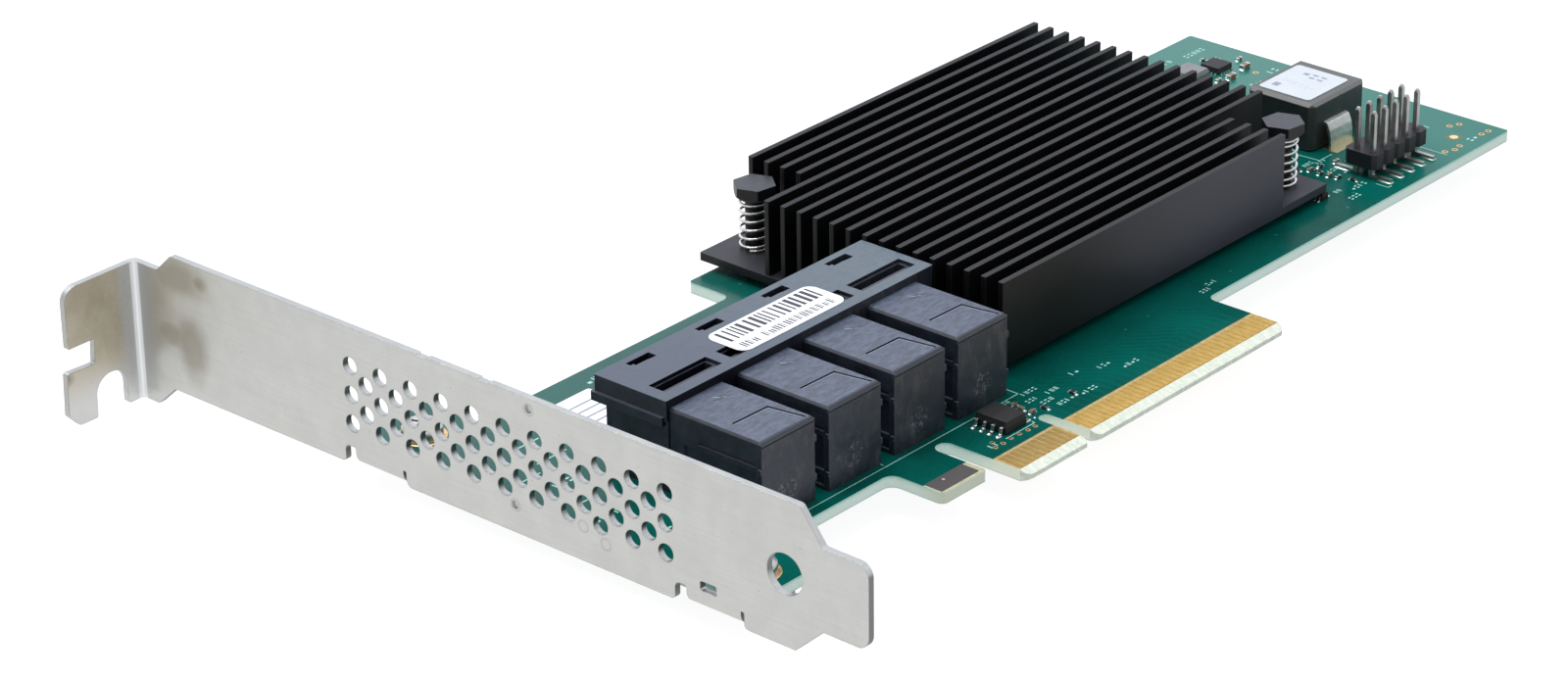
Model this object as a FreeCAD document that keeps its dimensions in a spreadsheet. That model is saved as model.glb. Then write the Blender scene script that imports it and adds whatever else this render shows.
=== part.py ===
import FreeCAD, Part
import math
import os

V = FreeCAD.Vector
doc = FreeCAD.newDocument("adapter")
sheet = doc.addObject("Spreadsheet::Sheet", "dims")

# driving dimensions, millimetres.  X runs along the card away from the
# outer face of the bracket, Y up from the finger edge, Z out of the
# component side of the board.
DIMS = [
    ("board_thick", 1.57), ("board_left", 1.8), ("board_end", 168.3), ("board_top", 66.6),
    ("board_low", 12.4), ("board_inset", 59.5), ("lug_low", 14.0), ("lug_high", 14.2), ("lug_top", 68.5),
    ("key_mid", 59.05), ("key_width", 1.9), ("key_top", 8.2), ("first_width", 11.65),
    ("second_width", 38.65), ("bevel_len", 1.3), ("bevel_deep", 0.473),
    ("finger_pitch", 1.0), ("finger_wide", 0.72), ("finger_start", 1.45), ("finger_end", 5.1),
    ("copper", 0.05), ("screw_hole", 3.4), ("screw_x", 7.6), ("screw_low", 8.9), ("screw_high", 62.3),
    ("sheet_metal", 0.86), ("ear_top", 105.02), ("plate_high", 16.07), ("plate_low", -2.35),
    ("tongue_tip", -14.4), ("vent_first", 66.23), ("vent_high", 10.9), ("vent_col", 2.529),
    ("vent_row", 3.854), ("vent_dia", 2.3), ("tool_hole", 5.2), ("tab_end", 11.5), ("bend_out", 1.7),
    ("shank_dia", 2.96), ("pan_dia", 5.2), ("pan_high", 1.85),
    ("port_first", 21.8), ("port_pitch", 11.95), ("port_width", 10.0), ("port_low", 1.5),
    ("port_high", 9.6), ("shroud_high", 12.12), ("shroud_front", 29.2), ("shroud_back", 40.7),
    ("shroud_left", 15.2), ("shroud_right", 64.15), ("block_first", 15.55), ("block_width", 9.6),
    ("block_front", 14.9), ("block_high", 11.05), ("nose_back", 34.2),
    ("sink_left", 64.4), ("sink_right", 133.7), ("sink_low", 18.5), ("sink_top", 68.3),
    ("sink_lift", 1.1), ("sink_base", 1.1), ("fin_high", 12.58), ("fin_first", 67.75), ("fin_left", 64.6), ("fin_right", 133.7),
    ("fin_pitch", 2.714), ("fin_thick", 0.8), ("fin_cut_left", 73.9), ("fin_cut_right", 123.7),
    ("post_one_x", 70.3), ("post_one_y", 63.9), ("post_two_x", 129.8), ("post_two_y", 23.2),
    ("post_dia", 2.6), ("head_flats", 5.1), ("head_top", 11.25), ("spring_top", 9.35),
    ("spring_radius", 1.97), ("wire_dia", 0.38), ("nut_flats", 5.0), ("nut_high", 1.8),
    ("chip_x", 99.0), ("chip_y", 43.4), ("chip_size", 25.0), ("die_size", 17.0), ("pad_thick", 0.15),
    ("coil_left", 144.6), ("coil_front", 28.7), ("coil_long", 12.5), ("coil_wide", 11.0), ("coil_top", 7.0),
    ("strap_wide", 5.1), ("strap_thick", 0.35),
    ("header_x", 143.4), ("header_y", 17.94), ("header_pitch", 2.54), ("header_lift", 1.55),
    ("header_thick", 2.15), ("pin_top", 9.5), ("pin_side", 0.64),
    ("memory_x", 52.3), ("memory_y", 8.05), ("memory_wide", 3.9), ("memory_long", 4.9), ("memory_high", 1.65),
    ("sticker", 0.08),
]
for i, (name, value) in enumerate(DIMS, 1):
    sheet.set("A%d" % i, name)
    sheet.set("B%d" % i, str(value))
    sheet.setAlias("B%d" % i, name)
doc.recompute()


def d(name):
    return float(sheet.get(name))


subparts = []


def path(points):
    """Closed outline from (x, y, corner radius) as lines and arcs."""
    out = []
    n = len(points)
    ends = []
    for i in range(n):
        x, y, r = (tuple(points[i]) + (0,))[:3]
        p = V(x, y, 0)
        a = V(points[i - 1][0], points[i - 1][1], 0) - p
        b = V(points[(i + 1) % n][0], points[(i + 1) % n][1], 0) - p
        if r <= 0:
            ends.append((p, p, None))
            continue
        la, lb = a.Length, b.Length
        a.normalize()
        b.normalize()
        half = math.acos(max(-1, min(1, a.dot(b)))) / 2
        t = min(r / math.tan(half), la * 0.5, lb * 0.5)
        r = t * math.tan(half)
        bis = a + b
        bis.normalize()
        c = p + bis * (r / math.sin(half))
        ends.append((p + a * t, p + b * t, (c, r, c - bis * r)))
    for i in range(n):
        t0, t1, arc = ends[i]
        if arc:
            out.append(Part.Arc(t0, arc[2], t1))
        nxt = ends[(i + 1) % n][0]
        if (nxt - t1).Length > 1e-6:
            out.append(Part.LineSegment(t1, nxt))
    return out


def face(points, z=0.0):
    edges = [g.toShape() for g in path(points)]
    f = Part.Face(Part.Wire(edges))
    f.translate(V(0, 0, z))
    return f


def box(x0, y0, z0, x1, y1, z1):
    return Part.makeBox(x1 - x0, y1 - y0, z1 - z0, V(x0, y0, z0))


def body(label):
    b = doc.addObject("PartDesign::Body", label)
    b.Label = label
    subparts.append(b)
    return b


def sketch(b, name, role, loops=(), circles=(), offset=None, offset_value=0.0):
    s = b.newObject("Sketcher::SketchObject", name)
    plane = [f for f in b.Origin.OriginFeatures if f.Role == role][0]
    s.AttachmentSupport = [(plane, "")]
    s.MapMode = "FlatFace"
    s.AttachmentOffset = FreeCAD.Placement(V(0, 0, offset_value), FreeCAD.Rotation())
    if offset:
        s.setExpression("AttachmentOffset.Base.z", offset)
    for loop in loops:
        for g in path(loop):
            s.addGeometry(g, False)
    for x, y, r in circles:
        s.addGeometry(Part.Circle(V(x, y, 0), V(0, 0, 1), r), False)
    return s


def pad(b, name, s, expr, reverse=False):
    p = b.newObject("PartDesign::Pad", name)
    p.Profile = s
    p.Reversed = reverse
    p.setExpression("Length", expr)
    return p


def pocket(b, name, s, expr, reverse=False, mid=False):
    p = b.newObject("PartDesign::Pocket", name)
    p.Profile = s
    p.Reversed = reverse
    if mid:
        p.Midplane = True
    p.setExpression("Length", expr)
    return p


def solid(label, shapes, expr=None):
    """A group of separate solids; its height is bound to the sheet."""
    f = doc.addObject("Part::Feature", label)
    f.Label = label
    f.Shape = Part.makeCompound(shapes) if len(shapes) > 1 else shapes[0]
    f.Placement = FreeCAD.Placement(V(0, 0, 0), FreeCAD.Rotation())
    f.setExpression("Placement.Base.z", expr or "dims.copper * 0")
    subparts.append(f)
    return f


def rect(x0, y0, x1, y1, r=0.0):
    return [(x0, y0, r), (x1, y0, r), (x1, y1, r), (x0, y1, r)]


BT = d("board_thick")
KX = d("key_mid")
KW = d("key_width") / 2
F1 = KX - KW - d("first_width")
F2 = KX + KW + d("second_width")
POSTS = [(d("post_one_x"), d("post_one_y"), -10.0), (d("post_two_x"), d("post_two_y"), -10.0)]
SCREWS = [(d("screw_x"), d("screw_low")), (d("screw_x"), d("screw_high"))]

# ---------------------------------------------------------------- board
board = body("circuit_board")
L = d("board_left")
outline = [
    (L, 4.3, 0.8), (d("lug_low"), 4.3, 1.2), (d("lug_low"), d("board_low"), 1.2),
    (35.85, d("board_low"), 1.5), (35.85, 4.4, 1.0), (43.9, 4.4, 0.25),
    (43.9, 12.9, 1.27), (F1, 12.9, 1.27), (F1, 0, 1.1),
    (KX - KW, 0, 0.5), (KX - KW, d("key_top"), 0.94), (KX + KW, d("key_top"), 0.94),
    (KX + KW, 0, 0.9), (F2, 0, 1.3), (F2, d("board_low"), 1.3),
    (d("board_end"), d("board_low"), 0.4), (d("board_end"), d("board_top"), 0.4),
    (60.3, d("board_top"), 0.6), (60.3, d("board_inset"), 1.2),
    (d("lug_high"), d("board_inset"), 1.0), (d("lug_high"), d("lug_top"), 1.0), (L, d("lug_top"), 0.8),
]
sk = sketch(board, "board_outline", "XY_Plane", [outline])
pad(board, "board_pad", sk, "dims.board_thick", reverse=True)
pegs = [(18.6, 35.0, 0.7), (60.4, 35.0, 0.7)]
sk = sketch(board, "board_holes", "XY_Plane", circles=[(x, y, d("screw_hole") / 2) for x, y in SCREWS]
            + [(x, y, 1.45) for x, y, a in POSTS] + pegs)
pocket(board, "board_drill", sk, "dims.board_thick * 3", mid=True)
bl, bd = d("bevel_len"), d("bevel_deep")
k = bd / bl
top = [(bl + 0.2, 0.2 * k), (-0.5, 0.2 * k), (-0.5, -bd - 0.5 * k)]
low = [(y, -BT - z) for y, z in top]
sk = sketch(board, "board_bevel", "YZ_Plane", [[(y, z, 0) for y, z in top], [(y, z, 0) for y, z in low]])
pocket(board, "board_bevel_cut", sk, "dims.board_end * 3", mid=True)

# ---------------------------------------------------------------- bracket
bracket = body("mounting_bracket")
T = d("sheet_metal")
ET = d("ear_top")
ph, pl, tip = d("plate_high"), d("plate_low"), d("tongue_tip")
BO = d("bend_out")
zb = BO - BT - T          # height at which the tab bend starts
tabs = [(4.4, 12.6), (57.95, 65.97)]
plate = [
    (ET, 13.5, 0), (99.95, 13.5, 0.8), (97.3, ph, 0.7),
    (54.9, ph, 0), (54.75, ph - 0.22, 0), (53.2, ph - 0.22, 0), (53.05, ph, 0),
    (44.8, ph, 0), (44.65, ph - 0.22, 0), (43.1, ph - 0.22, 0), (42.95, ph, 0),
    (-4.5, ph, 0.7), (-7.8, 11.83, 0.5), (tip, 11.8, 1.7), (tip, 1.2, 1.7), (-7.8, 1.25, 0.3),
    (-3.7, pl - 0.15, 0.4), (3.0, pl - 0.1, 0),
]
for y0, y1 in tabs:
    plate += [(y0 - 0.5, pl, 0.9), (y0 - 0.5, zb + 0.35, 0.2), (y0, zb + 0.35, 0), (y0, zb, 0),
              (y1, zb, 0), (y1, 0.0, 0.4), (y1 + 1.75, 0.0, 0.7), (y1 + 1.75, pl, 0.6)]
plate += [(98.05, pl, 0.3), (101.28, -5.25, 0.5), (ET, -5.25, 0)]
sk = sketch(bracket, "plate_outline", "YZ_Plane", [plate])
pad(bracket, "plate_pad", sk, "dims.sheet_metal")
ear = [
    (T, 13.5, 0), (-11.43, 13.5, 2.0), (-11.43, 5.44, 0.2), (-7.2, 5.44, 0.2), (-7.4, 2.1, 0.2),
    (-11.9, 2.3, 0.4), (-12.1, -3.5, 0.4), (-10.5, -5.2, 0.5), (-7.55, -5.25, 0.3),
    (-7.4, 0.05, 2.45), (-2.45, 0.05, 2.45), (-2.5, -5.25, 0.4), (T, -5.25, 0),
]
sk = sketch(bracket, "ear_outline", "XZ_Plane", [ear], offset="-dims.ear_top", offset_value=-ET)
pad(bracket, "ear_pad", sk, "dims.sheet_metal")
for n, (y0, y1) in enumerate(tabs, 1):
    c = V(BO, zb, 0)
    s45 = math.sqrt(0.5)
    ri = BO - T
    geo = [
        Part.Arc(V(0, zb, 0), c + V(-BO * s45, -BO * s45, 0), V(BO, zb - BO, 0)),
        Part.LineSegment(V(BO, zb - BO, 0), V(d("tab_end"), zb - BO, 0)),
        Part.LineSegment(V(d("tab_end"), zb - BO, 0), V(d("tab_end"), zb - ri, 0)),
        Part.LineSegment(V(d("tab_end"), zb - ri, 0), V(BO, zb - ri, 0)),
        Part.Arc(V(BO, zb - ri, 0), c + V(-ri * s45, -ri * s45, 0), V(T, zb, 0)),
        Part.LineSegment(V(T, zb, 0), V(T, zb + 0.1, 0)),
        Part.LineSegment(V(T, zb + 0.1, 0), V(0, zb + 0.1, 0)),
        Part.LineSegment(V(0, zb + 0.1, 0), V(0, zb, 0)),
    ]
    s = bracket.newObject("Sketcher::SketchObject", "tab_profile_%d" % n)
    s.AttachmentSupport = [([f for f in bracket.Origin.OriginFeatures if f.Role == "XZ_Plane"][0], "")]
    s.MapMode = "FlatFace"
    s.AttachmentOffset = FreeCAD.Placement(V(0, 0, -y1), FreeCAD.Rotation())
    for g in geo:
        s.addGeometry(g, False)
    p = bracket.newObject("PartDesign::Pad", "tab_pad_%d" % n)
    p.Profile = s
    p.Length = y1 - y0
# rounded tab ends and threaded holes
corner = []
for y0, y1 in tabs:
    e = d("tab_end")
    for yy, sg in ((y0, 1), (y1, -1)):
        corner.append([(e + 1, yy - sg * 1, 0), (e + 1, yy + sg * 2.2, 0), (e, yy + sg * 2.2, 0),
                       (e - 2.2, yy, 0), (e - 2.2, yy - sg * 1, 0)])
sk = sketch(bracket, "tab_corners", "XY_Plane", corner)
pocket(bracket, "tab_corner_cut", sk, "dims.board_thick * 6", mid=True)
sk = sketch(bracket, "tab_holes", "XY_Plane", circles=[(x, y, 1.5) for x, y in SCREWS])
pocket(bracket, "tab_drill", sk, "dims.board_thick * 6", mid=True)
vents = []
for c in range(21):
    y = d("vent_first") - c * d("vent_col")
    rows = (0, 1, 2) if c % 2 == 0 else (0.5, 1.5)
    vents += [(y, d("vent_high") - r * d("vent_row"), d("vent_dia") / 2) for r in rows]
vents.append((-2.24, 6.7, d("tool_hole") / 2))
sk = sketch(bracket, "vent_holes", "YZ_Plane", [rect(8.05, 0.2, 10.5, 1.4, 0.25)], vents)
pocket(bracket, "vent_cut", sk, "dims.sheet_metal * 3", mid=True)
sk = sketch(bracket, "punch_marks", "YZ_Plane", circles=[(36.7, 14.6, 0.5), (39.4, 1.3, 0.5)])
pocket(bracket, "punch_cut", sk, "dims.sheet_metal * 0.3", reverse=True)
doc.recompute()


def edges_at(feature, test):
    names = []
    for i, e in enumerate(feature.Shape.Edges, 1):
        if len(e.Vertexes) == 2 and all(test(v.Point) for v in e.Vertexes):
            names.append("Edge%d" % i)
    return names


tipf = bracket.Tip
outer = edges_at(tipf, lambda p: abs(p.x - T) < 1e-4 and abs(p.y - ET) < 1e-4)
inner = edges_at(tipf, lambda p: abs(p.x) < 1e-4 and abs(p.y - (ET - T)) < 1e-4)
fl = bracket.newObject("PartDesign::Fillet", "fold_outer")
fl.Base = (tipf, outer)
fl.Radius = 1.15
doc.recompute()
if not fl.Shape.isNull() and fl.Shape.isValid() and fl.State != ["Invalid"]:
    tipf = bracket.Tip
    inner = edges_at(tipf, lambda p: abs(p.x) < 1e-4 and abs(p.y - (ET - T)) < 1e-4)
    fi = bracket.newObject("PartDesign::Fillet", "fold_inner")
    fi.Base = (tipf, inner)
    fi.Radius = 0.35
    doc.recompute()

# ---------------------------------------------------------------- bracket screws
screws = []
for x, y in SCREWS:
    hr, hh = d("pan_dia") / 2, d("pan_high")
    prof = Part.Wire([g.toShape() for g in path([
        (0, 0, 0), (hr, 0, 0.15), (hr, hh * 0.62, 0.5), (hr * 0.72, hh, 0.7), (0, hh, 0)])])
    prof.rotate(V(0, 0, 0), V(1, 0, 0), 90)
    head = Part.Face(prof).revolve(V(0, 0, 0), V(0, 0, 1), 360)
    cross = box(-1.35, -0.26, hh - 1.0, 1.35, 0.26, hh + 1).fuse(box(-0.26, -1.35, hh - 1.0, 0.26, 1.35, hh + 1))
    shank = Part.makeCylinder(d("shank_dia") / 2, 3.4, V(0, 0, -3.4))
    shank = shank.makeChamfer(0.3, [e for e in shank.Edges if e.Vertexes[0].Point.z < -3.3 and len(e.Vertexes) == 1])
    one = head.cut(cross).fuse(shank).removeSplitter()
    one.rotate(V(0, 0, 0), V(0, 0, 1), 28)
    one.translate(V(x, y, 0))
    screws.append(one.Solids[0])
solid("bracket_screws", screws)

# ---------------------------------------------------------------- connector shroud
PF, PP, PW = d("port_first"), d("port_pitch"), d("port_width")
shroud = body("connector_shroud")
xl, xr, yf, yb = d("shroud_left"), d("shroud_right"), d("shroud_front"), d("shroud_back")
sk = sketch(shroud, "shroud_foot", "XY_Plane", [rect(xl + 0.3, yf, xr - 0.3, yb - 1.5, 0.2)])
pad(shroud, "shroud_foot_pad", sk, "dims.port_high")
sk = sketch(shroud, "shroud_ledge", "XY_Plane", [rect(xl - 0.4, yf + 0.35, xr + 0.32, yb + 0.3, 0.2)],
            offset="dims.shroud_high - 3.3", offset_value=d("shroud_high") - 3.3)
pad(shroud, "shroud_ledge_pad", sk, "1.15")
sk = sketch(shroud, "shroud_roof", "XY_Plane", [rect(xl, yf, xr, yb, 0.15)],
            offset="dims.shroud_high - 2.7", offset_value=d("shroud_high") - 2.7)
pad(shroud, "shroud_roof_pad", sk, "2.7")
ports = [rect(PF + i * PP - PW / 2, d("port_low"), PF + i * PP + PW / 2, d("port_high"), 0.3) for i in range(4)]
sk = sketch(shroud, "port_mouths", "XZ_Plane", ports)
pocket(shroud, "port_cut", sk, "dims.shroud_back * 3", mid=True)
slots = []
for x0, x1 in ((17.0, 27.0), (28.8, 38.8), (41.2, 51.2), (52.8, 62.8)):
    slots.append((x0, x1))
sk = sketch(shroud, "top_slots", "XY_Plane", [rect(x0, 30.9, x1, 33.6) for x0, x1 in slots],
            offset="dims.shroud_high + 1", offset_value=d("shroud_high") + 1)
pocket(shroud, "top_slot_cut", sk, "1 + 0.55")
sk = sketch(shroud, "top_slot_floor", "XY_Plane", [rect(x0 + 0.25, 32.05, x1 - 0.25, 33.45) for x0, x1 in slots],
            offset="dims.shroud_high + 1", offset_value=d("shroud_high") + 1)
pocket(shroud, "top_slot_through", sk, "1 + 2.9")
wins = [[(x0, 38.85, 0), (x0 + 3.0, 38.85, 0), (x0 + 3.0, 38.3, 0), (x0 + 4.0, 38.3, 0), (x0 + 4.0, 39.65, 0), (x0, 39.65, 0)]
        for x0 in (19.6, 31.8, 43.8, 55.75)]
sk = sketch(shroud, "latch_windows", "XY_Plane", wins, offset="dims.shroud_high + 1", offset_value=d("shroud_high") + 1)
pocket(shroud, "latch_cut", sk, "1 + 2.9")
sk = sketch(shroud, "latch_steps", "XY_Plane", [rect(x0 + 0.5, 38.35, x0 + 3.1, 39.2) for x0 in (19.6, 31.8, 43.8, 55.75)],
            offset="dims.shroud_high + 1", offset_value=d("shroud_high") + 1)
pocket(shroud, "latch_step_cut", sk, "1 + 0.3")
sk = sketch(shroud, "shroud_pegs", "XY_Plane", circles=[(18.6, 35.0, 0.66), (60.4, 35.0, 0.66)], offset="0.3", offset_value=0.3)
pad(shroud, "shroud_peg_pad", sk, "dims.board_thick + 0.6", reverse=True)
doc.recompute()
try:
    base = shroud.Tip
    H = d("shroud_high")
    rim = []
    for i, e in enumerate(base.Shape.Edges, 1):
        b0 = e.BoundBox
        if abs(b0.ZMin - H) < 1e-4 and abs(b0.ZMax - H) < 1e-4 and e.Length > 5:
            if abs(b0.YMin - yf) < 0.2 and abs(b0.YMax - yf) < 0.2 or b0.XMax < xl + 0.2 or b0.XMin > xr - 0.2:
                rim.append("Edge%d" % i)
    ch = shroud.newObject("PartDesign::Chamfer", "roof_edge")
    ch.Base = (base, rim)
    ch.Size = 0.15
    doc.recompute()
    if ch.Shape.isNull() or not ch.Shape.isValid() or "Invalid" in ch.State:
        raise RuntimeError("chamfer")
except Exception:
    shroud.removeObject(ch)
    doc.removeObject(ch.Name)
    shroud.Tip = base
    doc.recompute()

# ---------------------------------------------------------------- terminal blocks
BF, BW, BY, BH = d("block_first"), d("block_width"), d("block_front"), d("block_high")
for n in range(4):
    b = body("terminal_block_%d" % (n + 1))
    x0 = 0.0
    nose0 = (PF - BF) - 4.45
    sk = sketch(b, "housing_%d" % n, "XY_Plane", [rect(0.15, BY, BW, yf - 0.02, 0.12)])
    pad(b, "housing_pad_%d" % n, sk, "dims.block_high")
    sk = sketch(b, "nose_%d" % n, "XY_Plane", [rect(nose0, yf - 0.2, nose0 + 8.9, d("nose_back"), 0.15)],
                offset="dims.port_low + 0.35", offset_value=d("port_low") + 0.35)
    pad(b, "nose_pad_%d" % n, sk, "dims.port_high - dims.port_low - 0.7")
    # two card slots in the nose
    zc = (d("port_low") + d("port_high")) / 2
    cards = [rect(nose0 + 0.5, zc + s - 0.5, nose0 + 8.4, zc + s + 0.5, 0.1) for s in (-1.95, 1.95)]
    sk = sketch(b, "card_slots_%d" % n, "XZ_Plane", cards, offset="-dims.nose_back - 0.5", offset_value=-d("nose_back") - 0.5)
    pocket(b, "card_slot_cut_%d" % n, sk, "4.6", reverse=True)
    # bevel along the top front edge and down the left top edge
    sk = sketch(b, "top_bevel_%d" % n, "YZ_Plane", [[(BY - 0.3, BH - 0.35, 0), (BY - 0.3, BH + 0.3, 0), (BY + 0.75, BH + 0.3, 0), (BY + 0.6, BH, 0), (BY, BH - 0.35, 0)]])
    pocket(b, "top_bevel_cut_%d" % n, sk, "dims.block_width * 4", mid=True)
    sk = sketch(b, "left_bevel_%d" % n, "XZ_Plane", [[(-0.5, BH - 0.3, 0), (0.15, BH - 0.3, 0), (0.45, BH, 0), (0.6, BH + 0.3, 0), (-0.5, BH + 0.3, 0)],
                                                   [(BW + 0.5, BH - 0.3, 0), (BW, BH - 0.3, 0), (BW - 0.3, BH, 0), (BW - 0.45, BH + 0.3, 0), (BW + 0.5, BH + 0.3, 0)]])
    pocket(b, "left_bevel_cut_%d" % n, sk, "dims.shroud_back * 4", mid=True)
    # engraved line on the top
    sk = sketch(b, "top_line_%d" % n, "XY_Plane", [[(1.95, 21.02, 0), (8.02, 20.82, 0), (8.46, 18.1, 0), (8.92, 15.6, 0), (8.58, 15.6, 0), (8.12, 18.1, 0), (7.72, 20.5, 0), (1.95, 20.68, 0)]],
                offset="dims.block_high + 1", offset_value=BH + 1)
    pocket(b, "top_line_cut_%d" % n, sk, "1 + 0.25")
    # lines across the front face and the two long side faces
    sk = sketch(b, "front_line_%d" % n, "XZ_Plane", [rect(-0.5, BH - 0.72, BW + 0.5, BH - 0.52)], offset="-dims.block_front + 0.5", offset_value=-BY + 0.5)
    pocket(b, "front_line_cut_%d" % n, sk, "0.5 + 0.18")
    sk = sketch(b, "side_steps_%d" % n, "YZ_Plane", [rect(BY + 0.85, 7.75, 24.6, 8.2), rect(BY + 0.85, 2.6, 27.0, 7.1), rect(BY + 0.85, 0.6, 27.0, 1.9)],
                offset="-0.5", offset_value=-0.5)
    pocket(b, "side_step_cut_%d" % n, sk, "0.5 + 0.45", reverse=True)
    sk = sketch(b, "right_steps_%d" % n, "YZ_Plane", [rect(BY + 0.85, 2.6, 27.0, 7.1)],
                offset="dims.block_width + 0.5", offset_value=BW + 0.5)
    pocket(b, "right_step_cut_%d" % n, sk, "0.5 + 0.3")
    sk = sketch(b, "nubs_%d" % n, "YZ_Plane", [rect(BY, 7.7, BY + 0.5, 8.5), rect(BY, 2.6, BY + 0.5, 3.4)],
                offset="dims.block_width - 0.1", offset_value=BW - 0.1)
    pad(b, "nub_pad_%d" % n, sk, "0.1 + 0.25")
    sk = sketch(b, "left_nubs_%d" % n, "YZ_Plane", [rect(BY, 7.0, BY + 0.5, 7.6), rect(BY, 2.0, BY + 0.5, 2.6)],
                offset="0.0", offset_value=0.0)
    pad(b, "left_nub_pad_%d" % n, sk, "0.25")
    b.setExpression("Placement.Base.x", "dims.block_first + %d * dims.port_pitch" % n)

# contact blades in the ports and tails below the board
blades = []
zc = (d("port_low") + d("port_high")) / 2
for n in range(4):
    cx = PF + n * PP
    for s in (-1.95, 1.95):
        for side in (-1, 1):
            z0 = zc + s + side * 0.5
            for i in range(9):
                x = cx - 3.2 + i * 0.8
                z1 = z0 - side * 0.14
                blades.append(box(x - 0.14, 30.4, min(z0, z1), x + 0.14, 33.9, max(z0, z1)))
solid("port_contacts", blades)
tails = []
for n in range(4):
    for r in range(4):
        for i in range(9):
            tails.append(Part.makeCone(0.34, 0.14, 0.75, V(BF + n * PP + 1.0 + i * 0.89, 17.2 + r * 3.1, 0), V(0, 0, -1)))
solid("connector_tails", tails, "-dims.board_thick")

# ---------------------------------------------------------------- stickers
st = body("shroud_label")
sk = sketch(st, "sticker_top", "XY_Plane", [rect(30.7, 30.7, 49.9, 37.2, 1.5)])
pad(st, "sticker_top_pad", sk, "dims.sticker")
st.setExpression("Placement.Base.z", "dims.shroud_high")
st = body("board_label")
sk = sketch(st, "sticker_low", "XY_Plane", [rect(17.6, 46.5, 29.5, 55.4, 0.4)])
pad(st, "sticker_low_pad", sk, "dims.sticker")

# ---------------------------------------------------------------- heatsink
sink = body("heatsink")
sl, sr, s0, s1 = d("sink_left"), d("sink_right"), d("sink_low"), d("sink_top")
lift = d("sink_lift")
sk = sketch(sink, "sink_base_outline", "XY_Plane", [rect(sl, s0, sr, s1, 0.15)], offset="dims.sink_lift", offset_value=lift)
pad(sink, "sink_base_pad", sk, "dims.sink_base")
fins = []
for i in range(19):
    yc = d("fin_first") - i * d("fin_pitch")
    a = d("fin_cut_left") if i < 4 else d("fin_left")
    b = d("fin_cut_right") if i > 14 else d("fin_right")
    fins.append(rect(a, yc - d("fin_thick") / 2, b, yc + d("fin_thick") / 2, 0.12))
sk = sketch(sink, "fin_rows", "XY_Plane", fins, offset="dims.sink_lift + dims.sink_base - 0.05",
            offset_value=lift + d("sink_base") - 0.05)
pad(sink, "fin_pad", sk, "dims.fin_high - dims.sink_lift - dims.sink_base + 0.05")
sk = sketch(sink, "sink_holes", "XY_Plane", circles=[(x, y, 1.4) for x, y, a in POSTS])
pocket(sink, "sink_drill", sk, "dims.fin_high * 4", mid=True)

# package under the heatsink
cx, cy, cs, ds = d("chip_x"), d("chip_y"), d("chip_size"), d("die_size")
pk = body("controller_package")
sk = sketch(pk, "package_outline", "XY_Plane", [rect(cx - cs / 2, cy - cs / 2, cx + cs / 2, cy + cs / 2, 0.3)])
pad(pk, "package_pad", sk, "0.55")
pk = body("controller_die")
sk = sketch(pk, "die_outline", "XY_Plane", [rect(cx - ds / 2, cy - ds / 2, cx + ds / 2, cy + ds / 2, 0.5)],
            offset="0.55", offset_value=0.55)
pad(pk, "die_pad", sk, "dims.sink_lift - 0.55 - dims.pad_thick")
pk = body("thermal_pad")
sk = sketch(pk, "pad_outline", "XY_Plane", [rect(cx - 9.5, cy - 9.5, cx + 9.5, cy + 9.5, 0.3)],
            offset="dims.sink_lift - dims.pad_thick", offset_value=lift - d("pad_thick"))
pad(pk, "pad_pad", sk, "dims.pad_thick")


def hexagon(af, angle):
    r = af / math.sqrt(3)
    return [(r * math.cos(math.radians(angle + 60 * i)), r * math.sin(math.radians(angle + 60 * i)), 0.12) for i in range(6)]


for n, (x, y, ang) in enumerate(POSTS, 1):
    p = body("heatsink_post_%d" % n)
    ht, stp = d("head_top"), d("spring_top")
    sk = sketch(p, "post_head_%d" % n, "XY_Plane", [hexagon(d("head_flats"), ang)],
                offset="dims.spring_top", offset_value=stp)
    pad(p, "post_head_pad_%d" % n, sk, "dims.head_top - dims.spring_top")
    # groove that turns the lower half of the head into a cone
    g = [(2.25, stp - 0.3, 0), (2.25, stp, 0), (3.1, stp + 0.75, 0), (4.5, stp + 0.75, 0), (4.5, stp - 0.3, 0)]
    sk = sketch(p, "post_cone_%d" % n, "XZ_Plane", [g])
    gr = p.newObject("PartDesign::Groove", "post_cone_cut_%d" % n)
    gr.Profile = sk
    gr.ReferenceAxis = (sk, ["V_Axis"])
    gr.Angle = 360
    sk = sketch(p, "post_shank_%d" % n, "XY_Plane", circles=[(0, 0, d("post_dia") / 2)],
                offset="dims.spring_top + 0.3", offset_value=stp + 0.3)
    pad(p, "post_shank_pad_%d" % n, sk, "dims.spring_top + 0.3 + dims.board_thick + dims.nut_high + 0.35", reverse=True)
    p.setExpression("Placement.Base.x", "dims.post_%s_x" % ("one" if n == 1 else "two"))
    p.setExpression("Placement.Base.y", "dims.post_%s_y" % ("one" if n == 1 else "two"))

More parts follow.
